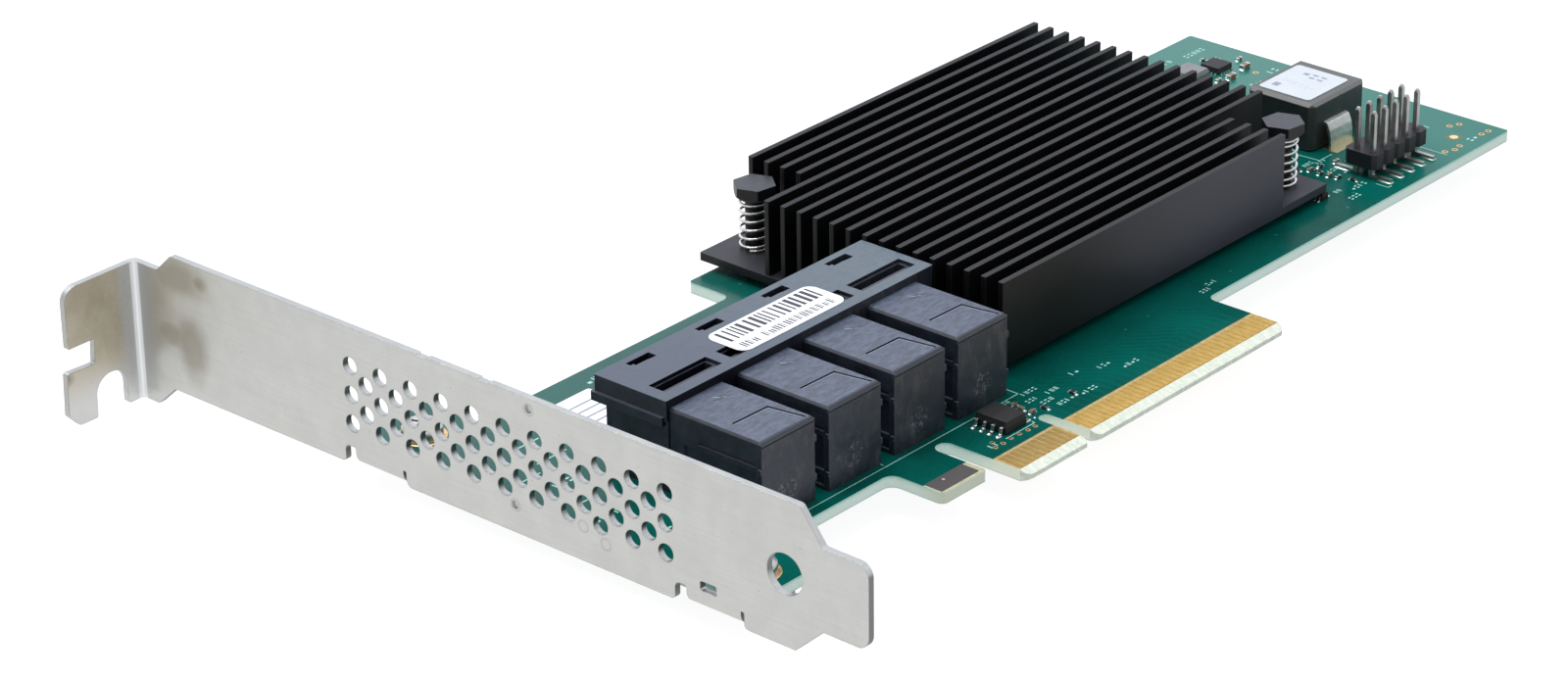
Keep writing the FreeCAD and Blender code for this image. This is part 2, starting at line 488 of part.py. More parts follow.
for n, (x, y, ang) in enumerate(POSTS, 1):
    wr = d("wire_dia") / 2
    zlo = lift + d("sink_base") + wr + 0.01
    zhi = d("spring_top") - wr - 0.01
    turns = [(1.0, 0.46), (4.85, (zhi - zlo - 0.92) / 4.85), (1.0, 0.46)]
    pts = []
    a = math.radians(200 if n == 1 else 20)
    z = zlo
    steps = 14
    total = []
    for tn, pitch in turns:
        k = int(round(tn * steps))
        for j in range(k):
            total.append((tn / k, tn / k * pitch))
    pts.append(V(x + d("spring_radius") * math.cos(a), y + d("spring_radius") * math.sin(a), z))
    for dt, dz in total:
        a += dt * 2 * math.pi
        z += dz
        pts.append(V(x + d("spring_radius") * math.cos(a), y + d("spring_radius") * math.sin(a), z))
    curve = Part.BSplineCurve()
    curve.interpolate(pts)
    spine = Part.Wire([curve.toShape()])
    tangent = curve.tangent(curve.FirstParameter)[0]
    ring = Part.Wire([Part.Circle(pts[0], tangent, wr).toShape()])
    coil = spine.makePipeShell([ring], True, True)
    if coil.Volume < 0:
        coil = coil.reversed()
    s = coil.Solids[0] if coil.Solids else coil
    solid("post_spring_%d" % n, [s])

nuts = []
for x, y, ang in POSTS:
    nut = face(hexagon(d("nut_flats"), ang + 15)).extrude(V(0, 0, -d("nut_high")))
    nut = nut.cut(Part.makeCylinder(d("post_dia") / 2 + 0.02, 4, V(0, 0, -3)))
    nut.translate(V(x, y, 0))
    nuts.append(nut.Solids[0] if nut.Solids else nut)
solid("post_retainers", nuts, "-dims.board_thick")

# ---------------------------------------------------------------- inductor
cl, cf, cL, cW, ct = d("coil_left"), d("coil_front"), d("coil_long"), d("coil_wide"), d("coil_top")
core = body("inductor_core")
sk = sketch(core, "core_outline", "XY_Plane", [[
    (cl + 0.7, cf, 0.15), (cl + cL - 0.7, cf, 0.15), (cl + cL, cf + 0.7, 0.15), (cl + cL, cf + cW - 0.7, 0.15),
    (cl + cL - 0.7, cf + cW, 0.15), (cl + 0.7, cf + cW, 0.15), (cl, cf + cW - 0.7, 0.15), (cl, cf + 0.7, 0.15)]],
    offset="0.3", offset_value=0.3)
pad(core, "core_pad", sk, "dims.coil_top - 0.3")
sk = sketch(core, "core_seam", "XY_Plane", [rect(cl + cL / 2 + 0.2, cf - 1, cl + cL / 2 + 0.38, cf + 0.12),
                                            rect(cl + cL / 2 + 0.2, cf + cW - 0.12, cl + cL / 2 + 0.38, cf + cW + 1)],
            offset="dims.coil_top + 1", offset_value=ct + 1)
pocket(core, "core_seam_cut", sk, "dims.coil_top + 2")
tw = [[(cl - 1, ct + 1, 0), (cl - 1, ct - 0.45, 0), (cl, ct - 0.45, 0), (cl + 0.45, ct, 0), (cl + 0.45, ct + 1, 0)],
      [(cl + cL + 1, ct + 1, 0), (cl + cL + 1, ct - 0.45, 0), (cl + cL, ct - 0.45, 0), (cl + cL - 0.45, ct, 0), (cl + cL - 0.45, ct + 1, 0)]]
sk = sketch(core, "core_chamfer_one", "XZ_Plane", tw)
pocket(core, "core_chamfer_one_cut", sk, "dims.board_top * 4", mid=True)
tw = [[(cf - 1, ct + 1, 0), (cf - 1, ct - 0.45, 0), (cf, ct - 0.45, 0), (cf + 0.45, ct, 0), (cf + 0.45, ct + 1, 0)],
      [(cf + cW + 1, ct + 1, 0), (cf + cW + 1, ct - 0.45, 0), (cf + cW, ct - 0.45, 0), (cf + cW - 0.45, ct, 0), (cf + cW - 0.45, ct + 1, 0)]]
sk = sketch(core, "core_chamfer_two", "YZ_Plane", tw)
pocket(core, "core_chamfer_two_cut", sk, "dims.board_end * 4", mid=True)
st = d("strap_thick")
mid = cl + cL / 2
straps = []
for sgn, y in ((-1, cf), (1, cf + cW)):
    prof = [(0, 3.5 + st, 0), (0.6, 3.3 + st, 0.4), (1.05, 2.6, 0.9), (1.28, 1.35, 1.5), (1.32, 0, 0),
            (1.32 - st, 0, 0), (1.28 - st, 1.25, 1.2), (1.0 - st, 2.4, 0.6), (0.5 - st / 2, 3.1 + st / 2, 0.3), (0, 3.5, 0)]
    w = face([(u, v, r) for u, v, r in prof])
    w.rotate(V(0, 0, 0), V(1, 0, 0), 90)
    w.rotate(V(0, 0, 0), V(0, 0, 1), 90 * sgn)
    s = w.extrude(V(d("strap_wide"), 0, 0))
    bb = s.BoundBox
    s.translate(V(mid - 0.9 - bb.XMin - (bb.XMax - bb.XMin) / 2, y, 0))
    straps.append(s)
solid("inductor_terminals", straps)
st2 = body("inductor_label")
sk = sketch(st2, "coil_sticker", "XY_Plane", [rect(cl + 1.05, cf + 1.4, cl + cL - 1.9, cf + cW - 1.1, 0.6)])
pad(st2, "coil_sticker_pad", sk, "dims.sticker")
st2.setExpression("Placement.Base.z", "dims.coil_top")

# ---------------------------------------------------------------- pin header
hx, hy, hp = d("header_x"), d("header_y"), d("header_pitch")
hb = body("header_base")
low_side, high_side = [], []
c = 0.55
y0, y1 = hy - hp / 2 - 0.02, hy + hp * 1.5 + 0.02
for i in range(5):
    a = hx + (i - 0.5) * hp
    b = a + hp
    low_side += [(a, y0 + c, 0), (a + c, y0, 0), (b - c, y0, 0), (b, y0 + c, 0)]
    high_side += [(a, y1 - c, 0), (a + c, y1, 0), (b - c, y1, 0), (b, y1 - c, 0)]


def thin_out(seq):
    out = []
    for p in seq:
        if not out or math.dist(out[-1][:2], p[:2]) > 1e-6:
            out.append(p)
    return out


ring = thin_out(low_side) + list(reversed(thin_out(high_side)))
sk = sketch(hb, "header_outline", "XY_Plane", [ring])
pad(hb, "header_pad", sk, "dims.header_thick")
ps = d("pin_side")
holes = [rect(hx + i * hp - ps / 2 - 0.01, hy + j * hp - ps / 2 - 0.01, hx + i * hp + ps / 2 + 0.01, hy + j * hp + ps / 2 + 0.01)
         for i in range(5) for j in range(2)]
sk = sketch(hb, "header_holes", "XY_Plane", holes)
pocket(hb, "header_hole_cut", sk, "dims.pin_top * 4", mid=True)
hb.setExpression("Placement.Base.z", "dims.header_lift")
pins = []
for i in range(5):
    for j in range(2):
        x, y = hx + i * hp, hy + j * hp
        h = ps / 2
        shaft = box(x - h, y - h, 0.0, x + h, y + h, d("pin_top"))
        cutter = []
        t = d("pin_top")
        tipc = Part.makeCone(h * 2.2, h * 0.75, 1.1, V(x, y, t - 1.1))
        slab = box(x - 1, y - 1, t - 1.1, x + 1, y + 1, t + 0.5)
        shaft = shaft.cut(slab.cut(tipc))
        if j == 0:
            foot = box(x - h, y - 3.2, 0, x + h, y + h, 0.45)
        else:
            foot = box(x - h, y - h, 0, x + h, y + 3.2, 0.45)
        one = shaft.fuse(foot).removeSplitter()
        pins.append(one.Solids[0])
solid("header_pins", pins)


# ---------------------------------------------------------------- leaded chips
def chip_body(label, x0, y0, x1, y1, z0, top, draft):
    mid_z = (z0 + top) / 2
    b = body(label)
    sk = sketch(b, label + "_outline", "XY_Plane", [rect(x0, y0, x1, y1, 0.05)], offset="%g" % z0, offset_value=z0)
    pad(b, label + "_pad", sk, "%g" % (top - z0))
    w = []
    for a, s in ((x0, 1), (x1, -1)):
        w.append([(a - s, top + 0.3, 0), (a - s, mid_z, 0), (a, mid_z, 0), (a + s * draft, top, 0), (a + s * draft * 1.3, top + 0.3, 0)])
    sk = sketch(b, label + "_draft_one", "XZ_Plane", w)
    pocket(b, label + "_draft_one_cut", sk, "dims.board_top * 4", mid=True)
    w = []
    for a, s in ((y0, 1), (y1, -1)):
        w.append([(a - s, top + 0.3, 0), (a - s, mid_z, 0), (a, mid_z, 0), (a + s * draft, top, 0), (a + s * draft * 1.3, top + 0.3, 0)])
    sk = sketch(b, label + "_draft_two", "YZ_Plane", w)
    pocket(b, label + "_draft_two_cut", sk, "dims.board_end * 4", mid=True)
    return b


def gull(x, y, dx, dy, out, rise, width, t=0.16):
    """Bent lead leaving a body face at (x, y) in direction (dx, dy)."""
    p = [(0, rise, 0), (out * 0.33, rise, 0.08), (out * 0.48, t, 0.08), (out, t, 0), (out, 0, 0),
         (out * 0.38, 0, 0.08), (out * 0.22, rise - t, 0.05), (0, rise - t, 0)]
    w = face(p)
    w.rotate(V(0, 0, 0), V(1, 0, 0), 90)
    s = w.extrude(V(0, width, 0))
    s.translate(V(0, -width / 2, 0))
    s.rotate(V(0, 0, 0), V(0, 0, 1), math.degrees(math.atan2(dy, dx)))
    s.translate(V(x, y, 0))
    return s


mx, my, mw, ml, mh = d("memory_x"), d("memory_y"), d("memory_wide"), d("memory_long"), d("memory_high")
chip_body("memory_chip_body", mx, my, mx + mw, my + ml, 0.15, mh, 0.18)
leads = []
for i in range(4):
    y = my + ml / 2 - 1.905 + i * 1.27
    leads.append(gull(mx - 0.005, y, -1, 0, 1.05, 0.98, 0.42, 0.18))
    leads.append(gull(mx + mw + 0.005, y, 1, 0, 1.05, 0.98, 0.42, 0.18))
solid("memory_chip_leads", leads)

chip_body("regulator_body", 158.9, 54.7, 162.1, 57.9, 0.05, 0.95, 0.06)
leads = []
for i in range(5):
    o = 158.9 + 0.4 + i * 0.6
    leads.append(box(o - 0.13, 54.4, 0, o + 0.13, 54.695, 0.2))
    leads.append(box(o - 0.13, 57.905, 0, o + 0.13, 58.2, 0.2))
    q = 54.7 + 0.4 + i * 0.6
    leads.append(box(158.6, q - 0.13, 0, 158.895, q + 0.13, 0.2))
    leads.append(box(162.105, q - 0.13, 0, 162.4, q + 0.13, 0.2))
solid("regulator_leads", leads)

chip_body("chip_inductor", 153.6, 55.4, 157.7, 59.3, 0.1, 1.3, 0.2)
cap_l = []
cap_l.append(box(153.42, 56.0, 0, 153.595, 58.7, 0.9))
cap_l.append(box(157.705, 56.0, 0, 157.88, 58.7, 0.9))

chip_body("supervisor_body", 132.7, 18.4, 134.0, 20.5, 0.06, 0.95, 0.08)
leads = [gull(132.695, 18.8, -1, 0, 0.55, 0.55, 0.24, 0.12), gull(132.695, 19.45, -1, 0, 0.55, 0.55, 0.24, 0.12),
         gull(132.695, 20.1, -1, 0, 0.55, 0.55, 0.24, 0.12), gull(134.005, 18.8, 1, 0, 0.55, 0.55, 0.24, 0.12),
         gull(134.005, 20.1, 1, 0, 0.55, 0.55, 0.24, 0.12)]
solid("supervisor_leads", leads)

# ---------------------------------------------------------------- two-terminal chips
# (x, y, along Y, long side, short side, height); ceramic ones first
CERAMIC = [(58.9, 12.25, 0, 1.0, 0.5, 0.45), (58.8, 10.95, 1, 1.0, 0.5, 0.45), (59.0, 9.4, 0, 1.0, 0.5, 0.45),
           (139.95, 22.4, 0, 1.0, 0.5, 0.45), (139.8, 25.4, 0, 1.0, 0.5, 0.45), (144.3, 24.3, 0, 1.0, 0.5, 0.45),
           (163.3, 53.3, 0, 1.6, 0.8, 0.7), (162.9, 57.9, 1, 1.0, 0.5, 0.45), (165.2, 55.7, 0, 1.0, 0.5, 0.45),
           (159.0, 52.6, 0, 1.6, 0.8, 0.7), (157.0, 53.3, 0, 1.0, 0.5, 0.45)]
RESIST = [(60.95, 8.95, 1, 1.0, 0.5, 0.34), (66.3, 8.85, 1, 1.0, 0.5, 0.34), (138.8, 26.8, 1, 1.0, 0.5, 0.34),
          (139.7, 23.75, 0, 1.0, 0.5, 0.34), (141.6, 25.1, 0, 1.0, 0.5, 0.34), (140.2, 21.15, 0, 1.0, 0.5, 0.34),
          (140.8, 19.1, 1, 1.0, 0.5, 0.34), (161.7, 59.2, 1, 1.0, 0.5, 0.34)]
ceramic, resist, ends = [], [], list(cap_l)
for group, out, cap in ((CERAMIC, ceramic, 0.26), (RESIST, resist, 0.2)):
    for x, y, along, ln, sh, ht in group:
        c0 = box(-ln / 2 + cap, -sh / 2, 0.02, ln / 2 - cap, sh / 2, ht)
        e0 = box(-ln / 2, -sh / 2, 0, -ln / 2 + cap - 0.002, sh / 2, ht + 0.01)
        e1 = box(ln / 2 - cap + 0.002, -sh / 2, 0, ln / 2, sh / 2, ht + 0.01)
        for s, dest in ((c0, out), (e0, ends), (e1, ends)):
            if along:
                s.rotate(V(0, 0, 0), V(0, 0, 1), 90)
            s.translate(V(x, y, 0))
            dest.append(s)
solid("chip_capacitors", ceramic)
solid("chip_resistors", resist)
solid("chip_terminations", ends)

# ---------------------------------------------------------------- contacts on the board
fingers = []
cu, fw, fs, fe = d("copper"), d("finger_wide"), d("finger_start"), d("finger_end")
xs = [F1 + 0.825 + i * d("finger_pitch") for i in range(11)] + [KX + KW + 0.825 + i * d("finger_pitch") for i in range(38)]
for x in xs:
    fingers.append(box(x - fw / 2, fs, 0, x + fw / 2, fe, cu))
    fingers.append(box(x - fw / 2, fs, -BT - cu, x + fw / 2, fe, -BT))
solid("edge_contacts", fingers)
tc = body("tab_contact")
sk = sketch(tc, "tab_pad_outline", "XY_Plane", [rect(36.15, 4.82, 43.1, 7.48, 0.15)])
pad(tc, "tab_pad_copper", sk, "dims.copper")

# ---------------------------------------------------------------- checks and export
doc.recompute()
bad = []
for o in doc.Objects:
    if any(w in ("Invalid", "Error") for w in o.State):
        bad.append("%s %s" % (o.Name, o.State))
for o in subparts:
    if o.Shape.isNull() or not o.Shape.isValid() or o.Shape.Volume <= 0:
        bad.append("%s shape" % o.Label)
if bad:
    raise SystemExit("not built: " + "; ".join(bad))
os.makedirs("parts", exist_ok=True)
for f in os.listdir("parts"):
    if f.endswith(".step"):
        os.remove(os.path.join("parts", f))
for o in subparts:
    o.Shape.exportStep("parts/%s.step" % o.Label)
    b = o.Shape.BoundBox
    print("%-22s %2d solids  vol %9.2f  x %7.2f %7.2f  y %7.2f %7.2f  z %6.2f %6.2f" % (
        o.Label, len(o.Shape.Solids), o.Shape.Volume, b.XMin, b.XMax, b.YMin, b.YMax, b.ZMin, b.ZMax))
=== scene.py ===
import bpy
import math
import random
from mathutils import Matrix, Vector


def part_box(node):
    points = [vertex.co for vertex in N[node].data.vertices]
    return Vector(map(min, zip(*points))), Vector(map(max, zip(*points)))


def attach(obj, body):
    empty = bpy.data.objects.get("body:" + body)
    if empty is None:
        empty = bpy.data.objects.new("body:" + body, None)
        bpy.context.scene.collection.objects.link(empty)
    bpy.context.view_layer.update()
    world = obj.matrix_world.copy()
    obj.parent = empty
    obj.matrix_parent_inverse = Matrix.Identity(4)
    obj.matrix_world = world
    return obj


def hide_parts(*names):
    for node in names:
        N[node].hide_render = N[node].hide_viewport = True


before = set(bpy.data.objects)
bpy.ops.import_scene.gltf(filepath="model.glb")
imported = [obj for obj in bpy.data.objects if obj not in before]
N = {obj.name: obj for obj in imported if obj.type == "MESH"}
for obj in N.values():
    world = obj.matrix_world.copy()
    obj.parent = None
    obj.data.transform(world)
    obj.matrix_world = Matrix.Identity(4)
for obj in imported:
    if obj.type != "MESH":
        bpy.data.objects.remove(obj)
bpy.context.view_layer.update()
MM = 0.001
scene = bpy.context.scene


# ------------------------------------------------------------------ camera
cam_data = bpy.data.cameras.new("photo_camera")
cam_data.sensor_fit = "HORIZONTAL"
cam_data.sensor_width = 36.0
cam_data.lens = 4808.858 / 1600 * 36
cam_data.clip_start = 0.01
cam_data.clip_end = 20
cam = bpy.data.objects.new("photo_camera", cam_data)
scene.collection.objects.link(cam)
right = (0.655698891, -0.754932328, -0.011668089)
down = (-0.336559736, -0.278416579, -0.899561978)
ahead = (0.675859829, 0.593768801, -0.436637267)
cam.matrix_world = Matrix((
    (right[0], -down[0], -ahead[0], -0.343787781),
    (right[1], -down[1], -ahead[1], -0.304603557),
    (right[2], -down[2], -ahead[2], 0.257856623),
    (0, 0, 0, 1)))
scene.camera = cam


# ------------------------------------------------------------------ material kit
class Mat:
    """Small builder around one node tree; coordinates are the row frame in mm."""

    def __init__(self, name):
        self.m = bpy.data.materials.new(name)
        self.m.use_nodes = True
        self.t = self.m.node_tree
        self.t.nodes.clear()
        self.out = self.t.nodes.new("ShaderNodeOutputMaterial")
        self.b = self.t.nodes.new("ShaderNodeBsdfPrincipled")
        self.t.links.new(self.b.outputs[0], self.out.inputs["Surface"])
        self._co = None
        self._xyz = None
        self._n = None

    def node(self, kind, **kw):
        n = self.t.nodes.new(kind)
        for k, v in kw.items():
            setattr(n, k, v)
        return n

    def link(self, a, b):
        self.t.links.new(a, b)

    def feed(self, sock, v):
        if isinstance(v, bpy.types.NodeSocket):
            self.link(v, sock)
        elif isinstance(v, (tuple, list)) and len(v) == 3 and sock.type == "RGBA":
            sock.default_value = (*v, 1)
        else:
            sock.default_value = v

    def co(self):
        if self._co is None:
            tc = self.node("ShaderNodeTexCoord")
            vm = self.node("ShaderNodeVectorMath", operation="SCALE")
            vm.inputs[3].default_value = 1000
            self.link(tc.outputs["Object"], vm.inputs[0])
            self._co = vm.outputs[0]
        return self._co

    def xyz(self):
        if self._xyz is None:
            s = self.node("ShaderNodeSeparateXYZ")
            self.link(self.co(), s.inputs[0])
            self._xyz = tuple(s.outputs)
        return self._xyz

    def nrm(self):
        if self._n is None:
            g = self.node("ShaderNodeNewGeometry")
            s = self.node("ShaderNodeSeparateXYZ")
            self.link(g.outputs["Normal"], s.inputs[0])
            self._n = tuple(s.outputs)
        return self._n

    def math(self, op, a, b=0.0, c=None, clamp=False):
        n = self.node("ShaderNodeMath", operation=op, use_clamp=clamp)
        self.feed(n.inputs[0], a)
        self.feed(n.inputs[1], b)
        if c is not None:
            self.feed(n.inputs[2], c)
        return n.outputs[0]

    def vec(self, op, a, b):
        n = self.node("ShaderNodeVectorMath", operation=op)
        self.feed(n.inputs[0], a)
        self.feed(n.inputs[1], b)
        return n.outputs[0]

    def noise(self, scale, detail=3.0, rough=0.55, vec=None, stretch=None, seed=0.0, distort=0.0):
        n = self.node("ShaderNodeTexNoise")
        v = vec if vec is not None else self.co()
        if stretch:
            v = self.vec("MULTIPLY", v, stretch)
        if seed:
            v = self.vec("ADD", v, (seed, seed * 1.7, seed * 0.6))
        self.link(v, n.inputs["Vector"])
        n.inputs["Scale"].default_value = scale
        n.inputs["Detail"].default_value = detail
        n.inputs["Roughness"].default_value = rough
        n.inputs["Distortion"].default_value = distort
        return n.outputs[0]

    def cells(self, scale, feature="F1", rnd=1.0, vec=None):
        n = self.node("ShaderNodeTexVoronoi", feature=feature)
        self.link(vec if vec is not None else self.co(), n.inputs["Vector"])
        n.inputs["Scale"].default_value = scale
        n.inputs["Randomness"].default_value = rnd
        return n.outputs[0]

    def ramp(self, v, lo, hi, a=0.0, b=1.0, smooth=True):
        n = self.node("ShaderNodeMapRange")
        n.interpolation_type = "SMOOTHSTEP" if smooth else "LINEAR"
        self.feed(n.inputs["Value"], v)
        n.inputs["From Min"].default_value = lo
        n.inputs["From Max"].default_value = hi
        n.inputs["To Min"].default_value = a
        n.inputs["To Max"].default_value = b
        return n.outputs[0]

    def mix(self, f, a, b):
        n = self.node("ShaderNodeMix", data_type="RGBA")
        self.feed(n.inputs[0], f)
        self.feed(n.inputs[6], a)
        self.feed(n.inputs[7], b)
        return n.outputs[2]

    def between(self, v, lo, hi, soft=0.05):
        return self.math("MULTIPLY", self.ramp(v, lo - soft, lo + soft), self.ramp(v, hi - soft, hi + soft, 1, 0))

    def blob(self, centre, radii, lo=0.4, hi=1.0, wobble=None):
        """1 inside a soft ellipsoid, 0 outside."""
        v = self.vec("SUBTRACT", self.co(), centre)
        v = self.vec("DIVIDE", v, radii)
        ln = self.node("ShaderNodeVectorMath", operation="LENGTH")
        self.link(v, ln.inputs[0])
        r = ln.outputs["Value"]
        if wobble is not None:
            r = self.math("ADD", r, wobble)
        return self.ramp(r, lo, hi, 1, 0)

    def bump(self, height, strength=0.3, dist=0.02, normal=None):
        n = self.node("ShaderNodeBump")
        n.inputs["Strength"].default_value = strength
        n.inputs["Distance"].default_value = dist * MM
        self.link(height, n.inputs["Height"])
        if normal is not None:
            self.link(normal, n.inputs["Normal"])
        return n.outputs[0]

    def edge(self, radius, samples=4):
        n = self.node("ShaderNodeBevel")
        n.samples = samples
        n.inputs["Radius"].default_value = radius * MM
        return n.outputs[0]

    def set(self, **kw):
        names = {"color": "Base Color", "rough": "Roughness", "metal": "Metallic", "normal": "Normal", "ior": "IOR",
                 "coat": "Coat Weight", "coat_rough": "Coat Roughness", "spec": "Specular IOR Level", "aniso": "Anisotropic",
                 "sss": "Subsurface Weight", "sss_r": "Subsurface Radius", "sss_s": "Subsurface Scale",
                 "glow": "Emission Color", "glow_s": "Emission Strength"}
        for k, v in kw.items():
            self.feed(self.b.inputs[names[k]], v)
        return self.m


def edge_mask(M, radius=0.25, gain=6.0):
    """0 on flats, towards 1 on outer edges: how far the rounded normal leaves the true one."""
    g = M.node("ShaderNodeNewGeometry")
    d = M.node("ShaderNodeVectorMath", operation="DOT_PRODUCT")
    M.link(M.edge(radius, 6), d.inputs[0])
    M.link(g.outputs["Normal"], d.inputs[1])
    return M.math("MULTIPLY", M.math("SUBTRACT", 1.0, d.outputs["Value"]), gain, clamp=True)


# ------------------------------------------------------------------ materials
def mat_board():
    M = Mat("board_mask")
    x, y, z = M.xyz()
    nx, ny, nz = M.nrm()
    flat = M.ramp(M.math("ABSOLUTE", nz), 0.93, 0.99)
    weave = M.node("ShaderNodeTexWave", wave_type="BANDS", bands_direction="X")
    M.link(M.co(), weave.inputs["Vector"])
    weave.inputs["Scale"].default_value = 0.55
    weave.inputs["Distortion"].default_value = 0.4
    n1 = M.noise(0.09, 4, 0.6)
    n2 = M.noise(1.9, 3, 0.6)
    green = M.mix(M.ramp(n1, 0.3, 0.72), (0.0003, 0.050, 0.040), (0.0006, 0.076, 0.062))
    green = M.mix(M.ramp(n2, 0.35, 0.8, 0, 0.35), green, (0.0012, 0.105, 0.085))
    # copper plane under the mask: lighter where copper is poured
    plane = M.mix(M.ramp(M.noise(0.035, 1, 0.5, seed=7), 0.46, 0.54, 0, 0.22), green, (0.0012, 0.105, 0.085))
    # lighter green towards the far end, past x 138
    plane = M.mix(M.ramp(x, 138.0, 160.0, 0, 0.7), plane, (0.002, 0.15, 0.115))
    # faint lines of copper under the mask, running up from the contacts
    lines = M.math("SINE", M.math("MULTIPLY", M.math("ADD", x, M.math("MULTIPLY", M.ramp(y, 8.5, 14.0, 0, 5.5, False), 1.0)), 4.4))
    lines = M.math("MULTIPLY", M.ramp(lines, 0.55, 0.9), M.math("MULTIPLY", M.between(y, 5.6, 13.6, 0.8), M.between(x, 60.0, 97.0, 1.0)))
    plane = M.mix(M.math("MULTIPLY", lines, 0.16), plane, (0.002, 0.16, 0.12))
    # bare laminate at the finger edge, between the contacts and over the retention tab
    fing = M.math("MULTIPLY", M.ramp(y, 5.35, 5.5, 1, 0), M.ramp(x, 46.0, 46.2))
    tab = M.math("MULTIPLY", M.math("MULTIPLY", M.ramp(y, 7.38, 7.46, 1, 0), M.ramp(x, 35.0, 35.2)), M.ramp(x, 44.3, 44.5, 1, 0))
    bare = M.math("MAXIMUM", fing, tab)
    cream = M.mix(M.ramp(M.noise(1.2, 3), 0.3, 0.7), (0.36, 0.35, 0.22), (0.45, 0.44, 0.31))
    top = M.mix(fing, plane, M.mix(M.ramp(M.noise(1.2, 3, seed=6), 0.3, 0.7), (0.34, 0.24, 0.09), (0.46, 0.34, 0.16)))
    top = M.mix(tab, top, cream)
    # cut edge: pale glass with a darker green line from the mask
    fibre = M.noise(1.0, 4, 0.7, stretch=(5, 5, 22))
    side = M.mix(M.ramp(fibre, 0.3, 0.75), (0.50, 0.68, 0.62), (0.78, 0.89, 0.85))
    core = M.between(z, -1.2, -0.5, 0.3)
    side = M.mix(M.math("MULTIPLY", core, 0.4), side, (0.78, 0.84, 0.78))
    nearf = M.math("MULTIPLY", M.ramp(y, 4.0, 9.5, 1, 0), M.ramp(x, 33, 36))
    side = M.mix(M.math("MULTIPLY", nearf, 0.75), side, M.mix(M.ramp(x, 44.0, 46.0), (0.58, 0.60, 0.47), (0.86, 0.87, 0.74)))
    side = M.mix(M.math("MULTIPLY", M.ramp(z, -0.42, -0.02), M.math("SUBTRACT", 0.6, M.math("MULTIPLY", nearf, 0.6))), side, (0.10, 0.40, 0.32))
    side = M.mix(M.math("MULTIPLY", M.ramp(z, -1.5, -1.3, 1, 0), 0.45), side, (0.36, 0.42, 0.42))
    bevel = M.math("MULTIPLY", M.ramp(y, 1.25, 1.35, 1, 0), M.ramp(x, 46.0, 46.2))
    rubbed = M.noise(1.5, 5, 0.7, stretch=(1.6, 0.7, 0.7), seed=12)
    side = M.mix(bevel, side, M.mix(M.ramp(rubbed, 0.3, 0.74), (0.54, 0.60, 0.53), (0.74, 0.77, 0.68)))
    col = M.mix(flat, side, top)
    rough = M.math("ADD", M.ramp(M.noise(0.8, 3, seed=3), 0.2, 0.8, 0.17, 0.27), M.math("MULTIPLY", M.math("SUBTRACT", 1.0, flat), 0.4))
    rough = M.math("ADD", rough, M.math("MULTIPLY", bare, 0.25))
    h = M.math("ADD", M.math("MULTIPLY", weave.outputs[1], 0.25), M.noise(3.5, 4, 0.6, seed=2))
    h = M.math("ADD", h, M.math("MULTIPLY", M.math("MULTIPLY", bevel, rubbed), 22.0))
    nb = M.bump(h, 0.05, 0.03)
    gloss = M.math("ADD", M.ramp(y, 16.0, 62.0, 0.04, 0.36), M.ramp(x, 142.0, 162.0, 0.0, 0.26))
    return M.set(color=col, rough=rough, normal=nb, ior=1.52, spec=gloss, sss=M.math("MULTIPLY", M.math("SUBTRACT", 1.0, flat), 0.25),
                 sss_r=(0.8, 1.0, 0.8), sss_s=0.0008)


